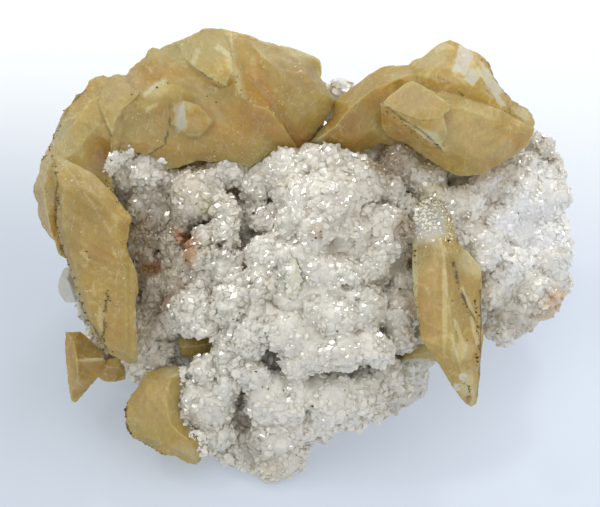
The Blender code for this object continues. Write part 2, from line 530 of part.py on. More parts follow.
CREVICE_CRYSTAL = (
    [(176, 346, 1.6), (180, 336, 1.8), (190, 335, 2.2), (201, 336, 2.4), (212, 334, 2.4), (219, 341, 2.4),
     (219, 350, 2), (210, 356, 1.6), (195, 358, 1.4), (184, 357, 1.4)],
    [[(186, 347, 3), (206, 345, 3.4)]],
    -3.6, 0.8, (0.0, 0.0),
)


def stone(name, colour, roughness):
    """Plain stone material for one kind of mineral."""
    made = bpy.data.materials.new(name)
    made.use_nodes = True
    shader = made.node_tree.nodes["Principled BSDF"]
    shader.inputs["Base Color"].default_value = colour
    shader.inputs["Roughness"].default_value = roughness
    return made


for old_object in list(bpy.data.objects):
    bpy.data.objects.remove(old_object)

body = rock()
crystals = [
    (cluster("calcite_cluster_left", LEFT_CLUSTER), LEFT_CLUSTER),
    (cluster("calcite_cluster_right", RIGHT_CLUSTER), RIGHT_CLUSTER),
    (cluster("calcite_blade", [BLADE]), [BLADE]),
    (cluster("calcite_foot_plate", [FOOT_PLATE]), [FOOT_PLATE]),
    (cluster("calcite_tablet", [TABLET]), [TABLET]),
    (cluster("calcite_wedge", WEDGE), WEDGE),
    (cluster("clear_crystal", [CLEAR_CRYSTAL]), [CLEAR_CRYSTAL]),
    (cluster("pale_crystal", [PALE_PATCH]), [PALE_PATCH]),
    (cluster("crevice_crystal", [CREVICE_CRYSTAL]), [CREVICE_CRYSTAL]),
]
for corner, direction in BREAKS:
    combine(body, break_cutter(corner, direction), "DIFFERENCE")
for _, plates in crystals:
    for outline, _, back, slim, slope in plates:
        combine(body, seat(outline, back, slim, slope), "DIFFERENCE")
combine(body, ground_cutter(GROUND_LOW, GROUND_HIGH), "DIFFERENCE")
largest_body(body)

everything = [body] + [crystal for crystal, _ in crystals]
points = np.concatenate([np.array([tuple(v.co) for v in thing.data.vertices]) for thing in everything])
low = points.min(axis=0)
high = points.max(axis=0)
shift = Vector(((low[0] + high[0]) / 2.0, (low[1] + high[1]) / 2.0, low[2]))
dolomite = stone("dolomite", (0.70, 0.68, 0.63, 1.0), 0.6)
calcite = stone("honey_calcite", (0.40, 0.27, 0.10, 1.0), 0.3)
clear = stone("pale_calcite", (0.55, 0.50, 0.30, 1.0), 0.25)
pale_names = ("clear_crystal", "pale_crystal")
for thing in everything:
    for vert in thing.data.vertices:
        vert.co -= shift
    kind = calcite
    if thing is body:
        kind = dolomite
    if thing.name in pale_names:
        kind = clear
    thing.data.materials.clear()
    thing.data.materials.append(kind)
    for polygon in thing.data.polygons:
        polygon.material_index = 0
        polygon.use_smooth = False
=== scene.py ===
import math

import bmesh
import bpy
import numpy as np
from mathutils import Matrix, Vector


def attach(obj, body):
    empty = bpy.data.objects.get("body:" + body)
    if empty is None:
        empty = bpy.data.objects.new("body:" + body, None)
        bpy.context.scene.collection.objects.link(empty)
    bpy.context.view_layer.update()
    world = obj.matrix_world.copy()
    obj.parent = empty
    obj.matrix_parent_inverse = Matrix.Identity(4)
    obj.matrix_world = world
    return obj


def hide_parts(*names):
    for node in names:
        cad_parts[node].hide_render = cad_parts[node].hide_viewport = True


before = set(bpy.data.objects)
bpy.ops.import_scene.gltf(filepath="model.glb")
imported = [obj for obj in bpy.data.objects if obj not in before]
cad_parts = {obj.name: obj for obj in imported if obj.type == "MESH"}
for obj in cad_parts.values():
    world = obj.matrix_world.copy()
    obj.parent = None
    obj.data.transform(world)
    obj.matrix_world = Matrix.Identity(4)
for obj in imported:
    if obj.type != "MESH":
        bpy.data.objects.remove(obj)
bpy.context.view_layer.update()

# Dolomite rock.
# One piece of white dolomite, cut flat below and broken behind; its leaning face is a crust of lumps.
# The lumps grew in a cavity, so they stand on each other with crevices between; these are painted brown,
# part staining and part painted shade.
MM = 0.001
FACE_SHIFT = np.array([0.652, 34.355, 0.0])   # from the face's own middle foot to the CAD origin, mm
LEAN_SIN = math.sin(math.radians(45.0))
LEAN_COS = math.cos(math.radians(45.0))
OUT = np.array([0.0, -LEAN_COS, LEAN_SIN])    # straight out of the leaning face
ROCK_NET = 0.38                               # spacing of the rock's points, mm
LUMP_SIZE = 3.6                               # small lumps on the large ones, mm
LUMP_HEIGHT = 0.55                            # mm
BREAK_SIZES = (12.0, 6.0)                     # hollows and knobs of the broken sides, mm
BREAK_HEIGHTS = (5.0, 1.5)                    # what full swings of their noises would reach, mm
TIP_LEAN = math.radians(40.0)                 # lean of a tip's faces from its axis
TIP_SPREAD = 1.2                              # how far the tips' axes stray from the surface normal
TIP_SIZES = (3.4, 1.5)                        # spacing of the large and small tips, mm
TIP_SHARES = (0.55, 0.6)                      # share of their height that shows
BROKEN_TIPS = 0.8                             # share of that on the broken sides
FRONT_POLYGONS = 98000                        # polygons of the face that make the druse piece


def face_place(points):
    """Across, down and out of points in mm: across and down in 0.2 mm steps from the face's upper left."""
    local = points + FACE_SHIFT
    along = local[:, 1] * LEAN_SIN + local[:, 2] * LEAN_COS
    out = local[:, 2] * LEAN_SIN - local[:, 1] * LEAN_COS
    return np.stack([300.0 + local[:, 0] * 5.0, 486.0 - along * 5.0, out], axis=1)


def lattice_value(cells, seed):
    """Number from 0 to 1 for each whole-number cell: products with large primes, mixed by shifts."""
    mixed = (cells[..., 0] * 73856093) ^ (cells[..., 1] * 19349663) ^ (cells[..., 2] * 83492791)
    mixed = (mixed ^ (seed * 2654435761)) & 0xFFFFFFFF
    mixed = ((mixed ^ (mixed >> 15)) * 2246822519) & 0xFFFFFFFF
    mixed = ((mixed ^ (mixed >> 13)) * 3266489917) & 0xFFFFFFFF
    mixed = mixed ^ (mixed >> 16)
    return mixed.astype(np.float64) / 4294967296.0


def smooth_noise(points, size, seed):
    """Soft noise from 0 to 1: cell corner values blended with a smooth step along each axis."""
    scaled = points / size
    base = np.floor(scaled).astype(np.int64)
    part = scaled - base
    part = part * part * (3.0 - 2.0 * part)
    total = np.zeros(len(points))
    for corner in range(8):
        step = np.array([corner & 1, (corner >> 1) & 1, (corner >> 2) & 1])
        weight = np.prod(np.where(step == 1, part, 1.0 - part), axis=1)
        total += weight * lattice_value(base + step, seed)
    return total


def rough_noise(points, size, octaves, seed):
    """Sum of soft noises, each half as large and half as strong as the one before, from 0 to 1."""
    total = np.zeros(len(points))
    strength = 1.0
    whole = 0.0
    for octave in range(octaves):
        total += strength * smooth_noise(points, size / 2.0 ** octave, seed + octave)
        whole += strength
        strength *= 0.5
    return total / whole


def nearest_seed(points, size, seed):
    """Distance to the nearest of scattered seeds, one per cell, in cells, and the cell of that seed."""
    scaled = points / size
    base = np.floor(scaled).astype(np.int64)
    nearest = np.full(len(points), 9.0)
    owner = base.copy()
    for index in range(27):
        cell = base + np.array([index % 3 - 1, index // 3 % 3 - 1, index // 9 - 1])
        place = np.stack([lattice_value(cell, seed + k) for k in range(3)], axis=1) * 0.8 + 0.1 + cell
        distance = np.linalg.norm(place - scaled, axis=1)
        closer = distance < nearest
        owner = np.where(closer[:, None], cell, owner)
        nearest = np.where(closer, distance, nearest)
    return nearest, owner


def smooth_step(low, high, value):
    """0 below low, 1 above high, with a soft S between."""
    part = np.clip((value - low) / (high - low), 0.0, 1.0)
    return part * part * (3.0 - 2.0 * part)


def point_array(mesh):
    """Points of a mesh in millimetres."""
    points = np.empty(len(mesh.vertices) * 3)
    mesh.vertices.foreach_get("co", points)
    return points.reshape(-1, 3) / MM


def normal_array(mesh):
    """Unit normals at the points of a mesh."""
    normals = np.empty(len(mesh.vertices) * 3)
    mesh.vertex_normals.foreach_get("vector", normals)
    return normals.reshape(-1, 3)


def even_net(name, node, spacing, sharp=False):
    """New object: the CAD node's mesh, points merged, on an even net that melts or keeps its edges."""
    bm = bmesh.new()
    bm.from_mesh(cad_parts[node].data)
    bmesh.ops.remove_doubles(bm, verts=bm.verts, dist=1e-7)
    mesh = bpy.data.meshes.new(name)
    bm.to_mesh(mesh)
    bm.free()
    thing = bpy.data.objects.new(name, mesh)
    bpy.context.scene.collection.objects.link(thing)
    remesh = thing.modifiers.new("net", "REMESH")
    remesh.mode = "VOXEL"
    remesh.voxel_size = spacing * MM
    if sharp:
        longest = np.ptp(point_array(mesh), axis=0).max()
        remesh.mode = "SHARP"
        remesh.octree_depth = math.ceil(math.log2(longest / spacing / 0.98))
        remesh.scale = longest / spacing / 2.0 ** remesh.octree_depth
        remesh.use_remove_disconnected = False
    bpy.context.view_layer.update()
    graph = bpy.context.evaluated_depsgraph_get()
    netted = bpy.data.meshes.new_from_object(thing.evaluated_get(graph))
    thing.modifiers.remove(remesh)
    thing.data = netted
    netted.materials.clear()
    return thing


def moved(thing, points):
    """Give the points of an object's mesh new places in millimetres."""
    thing.data.vertices.foreach_set("co", (points * MM).ravel())
    thing.data.update()


def relaxed(points, mesh, rounds):
    """Each point drawn halfway to the mean of its neighbours, over and over."""
    ends = np.empty(len(mesh.edges) * 2, dtype=np.int64)
    mesh.edges.foreach_get("vertices", ends)
    ends = ends.reshape(-1, 2)
    count = len(points)
    near = np.maximum(np.bincount(ends.ravel(), minlength=count), 1)
    for _ in range(rounds):
        total = np.zeros_like(points)
        for axis in range(3):
            total[:, axis] += np.bincount(ends[:, 0], weights=points[ends[:, 1], axis], minlength=count)
            total[:, axis] += np.bincount(ends[:, 1], weights=points[ends[:, 0], axis], minlength=count)
        points = 0.5 * points + 0.5 * total / near[:, None]
    return points


def linear(code):
    """Linear red, green and blue of an sRGB hex value."""
    parts = np.array([int(code[k:k + 2], 16) for k in (1, 3, 5)]) / 255.0
    return np.where(parts <= 0.04045, parts / 12.92, ((parts + 0.055) / 1.055) ** 2.4)


def colour(code):
    """Linear colour with full alpha."""
    return (*linear(code), 1.0)


def new_look(name, settings):
    """Principled material with its sockets set by name; returns it, its node tree and its shader."""
    look = bpy.data.materials.new(name)
    look.use_nodes = True
    shader = look.node_tree.nodes["Principled BSDF"]
    for socket, value in settings.items():
        shader.inputs[socket].default_value = value
    return look, look.node_tree, shader


def add_node(tree, kind, settings, links):
    """Add a node, set its properties and sockets by name, and link the sockets given."""
    made = tree.nodes.new(kind)
    for name, value in settings.items():
        if hasattr(made, name):
            setattr(made, name, value)
        else:
            made.inputs[name].default_value = value
    for name, source in links.items():
        tree.links.new(source, made.inputs[name])
    return made


# Stains and painted shade on the druse: rust, yellow-green and white patches, and greys and browns painted
# as shade in the recesses, under the blade and on the lower part: (across, down, radius in steps, colour,
# strength)
STAINS_AND_SHADE = [
    (530, 225, 62, "#FFFEFA", 0.95), (310, 190, 50, "#F4F1E6", 0.4), (158, 245, 62, "#958462", 0.6),
    (150, 230, 28, "#96866A", 0.75), (142, 270, 20, "#8E7448", 0.75), (150, 310, 24, "#968468", 0.6),
    (160, 345, 22, "#B3A892", 0.5), (395, 165, 28, "#96794A", 0.65), (405, 230, 16, "#8E7650", 0.7),
    (395, 300, 14, "#9C8F7A", 0.5), (260, 205, 20, "#B5ADA0", 0.5), (225, 245, 16, "#B5ADA0", 0.5),
    (300, 400, 70, "#EFEBE0", 0.5), (186, 240, 10, "#B4661A", 0.9), (191, 256, 8, "#B07630", 0.7),
    (147, 268, 8, "#B98A3E", 0.8), (205, 205, 14, "#C8C28A", 0.4), (190, 190, 20, "#DCCDB0", 0.45),
    (315, 232, 7, "#B88F5C", 0.5), (320, 205, 16, "#D8CCC0", 0.3), (430, 200, 16, "#C9BE8C", 0.45),
    (157, 268, 9, "#8E5408", 0.9), (166, 300, 12, "#7E5A34", 0.7), (182, 288, 8, "#8A6A44", 0.6),
    (558, 300, 14, "#C99A58", 0.6), (545, 312, 13, "#C8A670", 0.55), (520, 325, 14, "#A8967C", 0.5),
    (135, 190, 18, "#A79F90", 0.5), (246, 232, 8, "#8F8675", 0.6), (242, 398, 12, "#8D8270", 0.6),
    (270, 470, 20, "#D2C7AE", 0.5), (392, 405, 16, "#C4B7A2", 0.4), (85, 312, 14, "#B9B08A", 0.5),
    (338, 90, 20, "#F4F3EE", 0.9), (505, 312, 14, "#A39C8E", 0.5), (250, 448, 18, "#8F8673", 0.5),
]


def stain_and_shade_colours(points, crevice, ahead):
    """Base white, greyed by noise, darker where turned away from the face, browned in crevices as staining
    and painted shade, mixed with each near listed mark where it faces ahead.
    """
    place = face_place(points)
    white = linear("#E8E4D8")
    grey = linear("#DCD6C8")
    brown = linear("#8C7850")
    patch = rough_noise(points, 9.0, 3, 71)
    tint = white + (grey - white) * smooth_step(0.35, 0.7, patch)[:, None] * 0.8
    tint = tint * (0.86 + 0.14 * ahead)[:, None]
    # Crevices: brown staining together with painted shade where the crust lies hollow.
    tint = tint + (brown - tint) * (crevice * 0.85)[:, None]
    ragged = rough_noise(points, 3.2, 3, 83)
    # Each listed mark is a stain or painted shade.
    for across, down, radius, code, strength in STAINS_AND_SHADE:
        distance = np.hypot(place[:, 0] - across, place[:, 1] - down) / radius
        amount = strength * ahead * (1.0 - smooth_step(0.35, 1.25, distance + (ragged - 0.5) * 1.3))
        tint = tint + (linear(code) - tint) * amount[:, None]
    return tint


def paint(mesh, colours):
    """Store one colour per point as a colour attribute: stains and tones together with painted light and
    shade.
    """
    layer = mesh.color_attributes.new("stain_and_painted_light", "FLOAT_COLOR", "POINT")
    full = np.ones((len(colours), 4))
    full[:, :3] = colours
    layer.data.foreach_set("color", full.ravel())


def unit(vectors):
    """Vectors scaled to length 1."""
    return vectors / np.maximum(np.linalg.norm(vectors, axis=1), 1e-9)[:, None]


def crust_height(points, normals, size, seed):
    """How far a crust of three-faced crystal tips stands above each point along its normal.

    One tip per cell: axis a near the normal, faces f1, f2, f3 about it, at distance d from the seed q.
    With q moved onto the surface the point lies under the tip by the least of (d - f.(p - q)) / (f.n);
    the highest tip near the surface counts."""
    base = np.floor(points / size).astype(np.int64)
    height = np.full(len(points), -0.3 * size)
    fixed = np.array([0.3, 0.9, 0.2])
    for index in range(27):
        cell = base + np.array([index % 3 - 1, index // 3 % 3 - 1, index // 9 - 1])
        seed_place = (np.stack([lattice_value(cell, seed + k) for k in range(3)], axis=1) + cell) * size
        lean = np.stack([lattice_value(cell, seed + 5 + k) for k in range(3)], axis=1) - 0.5
        axis = unit(normals + lean * TIP_SPREAD)
        first = unit(np.cross(axis, fixed))
        second = np.cross(axis, first)
        turn = 2.0 * math.pi * lattice_value(cell, seed + 9)
        reach = size * (0.2 + 0.3 * lattice_value(cell, seed + 10))
        offset = points - seed_place
        depth = np.einsum("nd,nd->n", offset, normals)
        offset -= normals * depth[:, None]
        least = np.full(len(points), 9.0)
        for third in range(3):
            angle = turn + third * 2.0 * math.pi / 3.0
            flat = first * np.cos(angle)[:, None] + second * np.sin(angle)[:, None]
            face = axis * math.cos(TIP_LEAN) + flat * math.sin(TIP_LEAN)
            steep = np.maximum(np.einsum("nd,nd->n", face, normals), 0.35)
            least = np.minimum(least, (reach - np.einsum("nd,nd->n", face, offset)) / steep)
        least -= 0.9 * np.maximum(np.abs(depth) - 0.45 * size, 0.0)
        height = np.maximum(height, least)
    return np.clip(height, -0.3 * size, 0.75 * size)


rock = even_net("whole_rock", "dolomite_rock", ROCK_NET)
rock_points = relaxed(point_array(rock.data), rock.data, 3)
moved(rock, rock_points)
rock_normals = normal_array(rock.data)
facing = rock_normals @ OUT
drusy = smooth_step(-0.45, 0.0, facing + 0.25 * (rough_noise(rock_points, 8.0, 2, 5) - 0.5))
drusy *= smooth_step(0.6, 2.5, rock_points[:, 2])
warp = np.stack([rough_noise(rock_points, 3.0, 2, seed) - 0.5 for seed in (14, 15, 16)], axis=1)
lump_near, _ = nearest_seed(rock_points + warp * 3.0, LUMP_SIZE, 11)
swell = LUMP_HEIGHT * (0.55 - np.minimum(lump_near, 1.0) ** 2)
broken_near, _ = nearest_seed(rock_points + warp * 4.0, BREAK_SIZES[1], 33)
broken = BREAK_HEIGHTS[0] * (rough_noise(rock_points, BREAK_SIZES[0], 5, 31) - 0.5)
broken += BREAK_HEIGHTS[1] * (broken_near - 0.6)
above_base = smooth_step(0.05, 2.5, rock_points[:, 2])
rise = drusy * swell + (1.0 - drusy) * broken * above_base
shown_points = rock_points + rock_normals * rise[:, None]
tip_grip = np.maximum(drusy, BROKEN_TIPS * above_base)
on_crust = tip_grip > 0.02
for tip_size, tip_share, tip_seed in zip(TIP_SIZES, TIP_SHARES, (61, 87)):
    moved(rock, shown_points)
    broad = unit(relaxed(normal_array(rock.data), rock.data, int(3.0 * tip_size)))
    crust = np.zeros(len(shown_points))
    crust[on_crust] = crust_height(shown_points[on_crust], broad[on_crust], tip_size, tip_seed)
    crust[on_crust] -= 0.25 * tip_size
    rough = 0.4 + 0.9 * smooth_step(0.35, 0.65, rough_noise(rock_points, 7.0, 2, tip_seed + 30))
    shown_points = shown_points + broad * (tip_grip * crust * tip_share * rough)[:, None]
moved(rock, shown_points)
rock_hollow = np.einsum("nd,nd->n", relaxed(shown_points, rock.data, 150) - shown_points, rock_normals)
small_hollow = np.einsum("nd,nd->n", relaxed(shown_points, rock.data, 12) - shown_points, rock_normals)
rock_crevice = smooth_step(-0.4, 2.2, rock_hollow) + 0.35 * smooth_step(0.0, 0.5, small_hollow)
rock_crevice = tip_grip * np.clip(rock_crevice, 0.0, 1.0)


def faceted(name, points, corners, starts, colours, look):
    """New flat-shaded object: points in mm, all corner numbers in a row, and where each polygon starts."""
    mesh = bpy.data.meshes.new(name)
    mesh.vertices.add(len(points))
    mesh.vertices.foreach_set("co", (points * MM).ravel())
    mesh.loops.add(len(corners))
    mesh.loops.foreach_set("vertex_index", corners)
    mesh.polygons.add(len(starts))
    mesh.polygons.foreach_set("loop_start", starts)
    mesh.update()
    mesh.polygons.foreach_set("use_smooth", np.zeros(len(starts), dtype=bool))
    paint(mesh, colours)
    mesh.materials.append(look)
    thing = bpy.data.objects.new(name, mesh)
    bpy.context.scene.collection.objects.link(thing)
    return thing


def part_of(name, mesh, wanted, colours, look):
    """New object from the polygons wanted of a mesh, with their points numbered anew."""
    corners = np.empty(len(mesh.loops), dtype=np.int64)
    mesh.loops.foreach_get("vertex_index", corners)
    amounts = np.empty(len(mesh.polygons), dtype=np.int64)
    mesh.polygons.foreach_get("loop_total", amounts)
    kept, numbers = np.unique(corners[np.repeat(wanted, amounts)], return_inverse=True)
    starts = np.cumsum(amounts[wanted]) - amounts[wanted]
    return faceted(name, point_array(mesh)[kept], numbers.ravel(), starts, colours[kept], look)


def dolomite_look(name, depth):
    """Painted colour as base, stains with painted shade in crevices and recesses, light soaking in by the
    depth given in metres, a glossy coat, a fine grain.
    """
    look, tree, shader = new_look(name, {
        "Roughness": 0.35, "IOR": 1.65, "Subsurface Weight": 1.0, "Subsurface Radius": (1.0, 1.0, 1.0),
        "Subsurface Scale": depth, "Coat Weight": 1.0, "Coat Roughness": 0.15, "Coat IOR": 1.7})
    stain_and_painted_light = add_node(tree, "ShaderNodeAttribute", {"attribute_name": "stain_and_painted_light"}, {})
    tree.links.new(stain_and_painted_light.outputs["Color"], shader.inputs["Base Color"])
    place = add_node(tree, "ShaderNodeTexCoord", {}, {})
    grain = add_node(
        tree, "ShaderNodeTexNoise", {"Scale": 1500.0, "Detail": 3.0, "Roughness": 0.6},
        {"Vector": place.outputs["Object"]})
    bump = add_node(
        tree, "ShaderNodeBump", {"Strength": 0.3, "Distance": 0.0002}, {"Height": grain.outputs["Fac"]})
    tree.links.new(bump.outputs["Normal"], shader.inputs["Normal"])
    return look


# Drusy dolomite: milky white crystal tips that glow softly inside and flash where a face meets the light.
# Massive dolomite: the same sugary white rock broken across; it is denser, so light soaks in less.
drusy_look = dolomite_look("drusy dolomite", 0.0018)
massive_look = dolomite_look("massive dolomite", 0.0003)
rock_starts = np.empty(len(rock.data.polygons), dtype=np.int64)
rock.data.polygons.foreach_get("loop_start", rock_starts)
rock_corners = np.empty(len(rock.data.loops), dtype=np.int64)
rock.data.loops.foreach_get("vertex_index", rock_corners)
first_corner = rock_corners[rock_starts]
broad_facing = (relaxed(normal_array(rock.data), rock.data, 80) @ OUT)[first_corner]
in_front = broad_facing > np.sort(broad_facing)[-FRONT_POLYGONS]
left_half = rock_points[first_corner, 0] < 0.0
rock_tint = stain_and_shade_colours(rock_points, rock_crevice, smooth_step(-0.3, 0.1, facing))
for piece_name, piece_wanted, piece_look in (
        ("drusy_dolomite", in_front, drusy_look),
        ("massive_dolomite_left", ~in_front & left_half, massive_look),
        ("massive_dolomite_right", ~in_front & ~left_half, massive_look)):
    rock_piece = part_of(piece_name, rock.data, piece_wanted, rock_tint, piece_look)
    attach(rock_piece, "root")
    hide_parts("dolomite_rock")
rock_skin = rock.data
bpy.data.objects.remove(rock)

# Druse.
# Dolomite rhombs, about 0.3 to 1.3 mm, that stand free of the crust or grow on the crystals.
# Neighbours on one lump share their lean, and some turn a face to the light and flash.
RHOMB_LOW = 0.35                 # edges before each lump's own scale of 0.8 to 1.3, mm
RHOMB_HIGH = 1.0
RHOMB_ANGLE = math.radians(102.5)
RHOMB_FLAT = 0.35                # saddle-shaped rhombs are lower along their axis by this share
FLASH_SHARE = 0.35               # share of rhombs with a face turned to the light
FLASH = np.array([[0.18, -0.09, 0.98], [-0.36, -0.32, 0.88]])    # half way between eye and each lamp
RHOMB_CORNERS = np.array([[x, y, z] for z in (-0.5, 0.5) for y in (-0.5, 0.5) for x in (-0.5, 0.5)])
RHOMB_QUADS = np.array([[0, 2, 3, 1], [4, 5, 7, 6], [0, 1, 5, 4], [2, 6, 7, 3], [0, 4, 6, 2], [1, 3, 7, 5]])


def rhomb_edges(upright, side, spin):
    """Three equal edges about each upright axis, a third of a turn apart.

    For edges at angle a to the axis, the cosine between two edges is 1 - 1.5 sin(a)^2."""
    opening = math.asin(math.sqrt((1.0 - math.cos(RHOMB_ANGLE)) / 1.5))
    other = np.cross(upright, side)
    edges = []
    for third in range(3):
        turn = spin + third * 2.0 * math.pi / 3.0
        flat = side * np.cos(turn)[:, None] + other * np.sin(turn)[:, None]
        edges.append(upright * math.cos(opening) + flat * math.sin(opening))
    return np.stack(edges)


def grow_rhombs(name, mesh, chance, tint, count, seed, look, scale=1.0, sunk=(-0.2, 0.2)):
    """Rhombs on random points of a mesh, more where the chance given per point is higher.

    The rhomb on a point is spanned by its three edges, flattened along its axis and sunk in the surface.
    Those that flash have a face at right angles to a direction half way between eye and lamp."""
    mesh.calc_loop_triangles()
    triangles = np.empty(len(mesh.loop_triangles) * 3, dtype=np.int64)
    mesh.loop_triangles.foreach_get("vertices", triangles)
    triangles = triangles.reshape(-1, 3)
    skin = point_array(mesh)
    normals = normal_array(mesh)
    broad = unit(relaxed(normals, mesh, 12))
    first, second, third = (skin[triangles[:, k]] for k in range(3))
    area = np.linalg.norm(np.cross(second - first, third - first), axis=1)
    share = area * chance[triangles].mean(axis=1)
    rng = np.random.default_rng(seed)
    chosen = rng.choice(len(triangles), count, p=share / share.sum())
    mix = rng.random((count, 2))
    over = mix.sum(axis=1) > 1.0
    mix[over] = 1.0 - mix[over]
    weights = np.column_stack([1.0 - mix.sum(axis=1), mix])
    spots = np.einsum("nk,nkd->nd", weights, skin[triangles[chosen]])
    up = unit(np.einsum("nk,nkd->nd", weights, broad[triangles[chosen]]))
    _, lump_cell = nearest_seed(spots, 4.2, seed + 16)
    lean_to = np.stack([lattice_value(lump_cell, seed + 60 + k) for k in range(3)], axis=1) - 0.5
    lean_to += rng.normal(0.0, 0.2, lean_to.shape)
    side = unit(lean_to - up * np.sum(lean_to * up, axis=1)[:, None])
    tilt = np.radians(15.0 + 40.0 * lattice_value(lump_cell, seed + 110) + rng.normal(0.0, 10.0, count))
    upright = up * np.cos(tilt)[:, None] + side * np.sin(tilt)[:, None]
    across = unit(np.cross(upright, unit(rng.normal(0.0, 0.25, (count, 3)) + side)))
    spin = 2.0 * math.pi * lattice_value(lump_cell, seed + 130) + rng.normal(0.0, 0.3, count)
    opening = math.asin(math.sqrt((1.0 - math.cos(RHOMB_ANGLE)) / 1.5))
    face_lean = math.atan(2.0 / math.tan(opening) * (1.0 - RHOMB_FLAT))
    flash = rng.random(count) < FLASH_SHARE
    toward = unit(FLASH[rng.integers(0, len(FLASH), count)] + rng.normal(0.0, 0.03, (count, 3)))
    sideways = unit(up - toward * np.sum(up * toward, axis=1)[:, None])
    flash_axis = toward * math.cos(face_lean) + sideways * math.sin(face_lean)
    flash_side = unit(toward - flash_axis * np.sum(toward * flash_axis, axis=1)[:, None])
    upright = np.where(flash[:, None], flash_axis, upright)
    across = np.where(flash[:, None], flash_side, across)
    edges = rhomb_edges(upright, across, np.where(flash, 0.0, spin))
    size = (RHOMB_LOW + (RHOMB_HIGH - RHOMB_LOW) * rng.random(count) ** 2.0) * scale
    size *= 0.8 + 0.5 * lattice_value(lump_cell, seed + 150)
    centre = spots + up * (size * rng.uniform(sunk[0], sunk[1], count))[:, None]
    solid = np.einsum("ck,knd->ncd", RHOMB_CORNERS, edges) * size[:, None, None]
    solid -= np.einsum("ncd,nd->nc", solid, upright)[:, :, None] * upright[:, None, :] * RHOMB_FLAT
    solid += centre[:, None, :]
    rhomb_tint = np.einsum("nk,nkd->nd", weights, tint[triangles[chosen]])
    rhomb_tint = np.clip(rhomb_tint * (0.96 + 0.1 * rng.random(count))[:, None], 0.0, 0.95)
    faces = (RHOMB_QUADS[None, :, :] + 8 * np.arange(count)[:, None, None]).reshape(-1, 4)
    rhombs = faceted(
        name, solid.reshape(-1, 3), faces.ravel(), np.arange(len(faces)) * 4,
        np.repeat(rhomb_tint, 8, axis=0), look)
    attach(rhombs, "root")


# Dolomite rhombs: glossy faces over a milky body that spreads the light, so only the flashes stand out.
druse_look, druse_tree, druse_shader = new_look("dolomite rhombs", {
    "Roughness": 0.5, "IOR": 1.65, "Specular IOR Level": 0.2, "Coat Weight": 1.0, "Coat Roughness": 0.12,
    "Coat IOR": 1.7})
# Rhombs take the rock's colour under them: stains with painted shade in crevices and recesses.
druse_stain_and_shade = add_node(druse_tree, "ShaderNodeAttribute", {"attribute_name": "stain_and_painted_light"}, {})
druse_tree.links.new(druse_stain_and_shade.outputs["Color"], druse_shader.inputs["Base Color"])

grow_rhombs("dolomite_druse_0", rock_skin, drusy ** 2, rock_tint, 12000, 41, druse_look)

# Honey calcite: left cluster.
# Overlapping plates and blades of calcite grown together on the upper left of the druse.
# The crystal is milky honey, deep amber where it is thick; its hollows are painted a lighter amber against
# their shade, and where it thins to a rim it is painted pale green as glow.
EDGE_HIGHLIGHT = 0.22                 # how far a ridge stands out before its painted highlight is full, mm
TERRACE = 1.7                    # width of the growth layers, mm
TERRACE_STEP = 0.15              # height of one layer's edge, mm
ETCH = 0.08                      # depth of the fine etching, mm


def marked(tint, place, marks, ragged, inner, square):
    """Mix each mark's colour into the tint, fully up to the share inner of its turned ellipse or box.

    How far out a point lies is the hypotenuse of its two parts over half length and half width, or for a
    box the larger part, plus the ragged noise."""
    for across, down, long, wide, turn, code, strength in marks:
        angle = math.radians(turn)
        right = place[:, 0] - across
        below = place[:, 1] - down
        first = np.abs(right * math.cos(angle) + below * math.sin(angle)) / long
        second = np.abs(below * math.cos(angle) - right * math.sin(angle)) / wide
        distance = np.maximum(first, second) if square else np.hypot(first, second)
        amount = strength * (1.0 - smooth_step(inner, 1.15, distance + ragged))
        tint = tint + (linear(code) - tint) * amount[:, None]
    return tint


# Bright chips where a flake has split off: (across, down, half length, half width, turn, colour, strength)
CHIPS = [
    (463, 61, 7, 15, 18, "#F4EEDA", 0.85), (472, 78, 6, 7, 40, "#F0E9D0", 0.8),
    (489, 80, 5, 17, -38, "#EDE5CA", 0.65), (498, 99, 3, 9, -30, "#E9E1C4", 0.6),
    (441, 48, 8, 3, -30, "#D9D2B4", 0.5), (424, 136, 12, 3, 35, "#E6DFBE", 0.6),
    (437, 146, 9, 2, 35, "#EDE6C8", 0.6), (410, 127, 8, 2, 35, "#DDD5AE", 0.5),
    (181, 118, 5, 14, -10, "#EFE6C6", 0.85), (150, 92, 9, 2, -35, "#E9DFC0", 0.6),
    (158, 85, 8, 2, -35, "#E9DFC0", 0.6), (152, 108, 6, 2, -30, "#E4D9B4", 0.5),
    (224, 52, 9, 3, 35, "#DDD6AE", 0.5), (196, 56, 3, 8, 20, "#DAD3A8", 0.4),
    (300, 45, 5, 3, 30, "#EFE9D4", 0.6), (87, 256, 7, 2, 50, "#DDD09C", 0.5),
    (461, 376, 4, 3, 0, "#F3EEDC", 0.8), (456, 386, 3, 3, 0, "#F3EEDC", 0.7),
    (466, 300, 2, 16, -25, "#E6DAB2", 0.5), (473, 330, 2, 14, -15, "#E6DAB2", 0.5),
    (457, 330, 2, 18, -20, "#DFD2A4", 0.5),
]
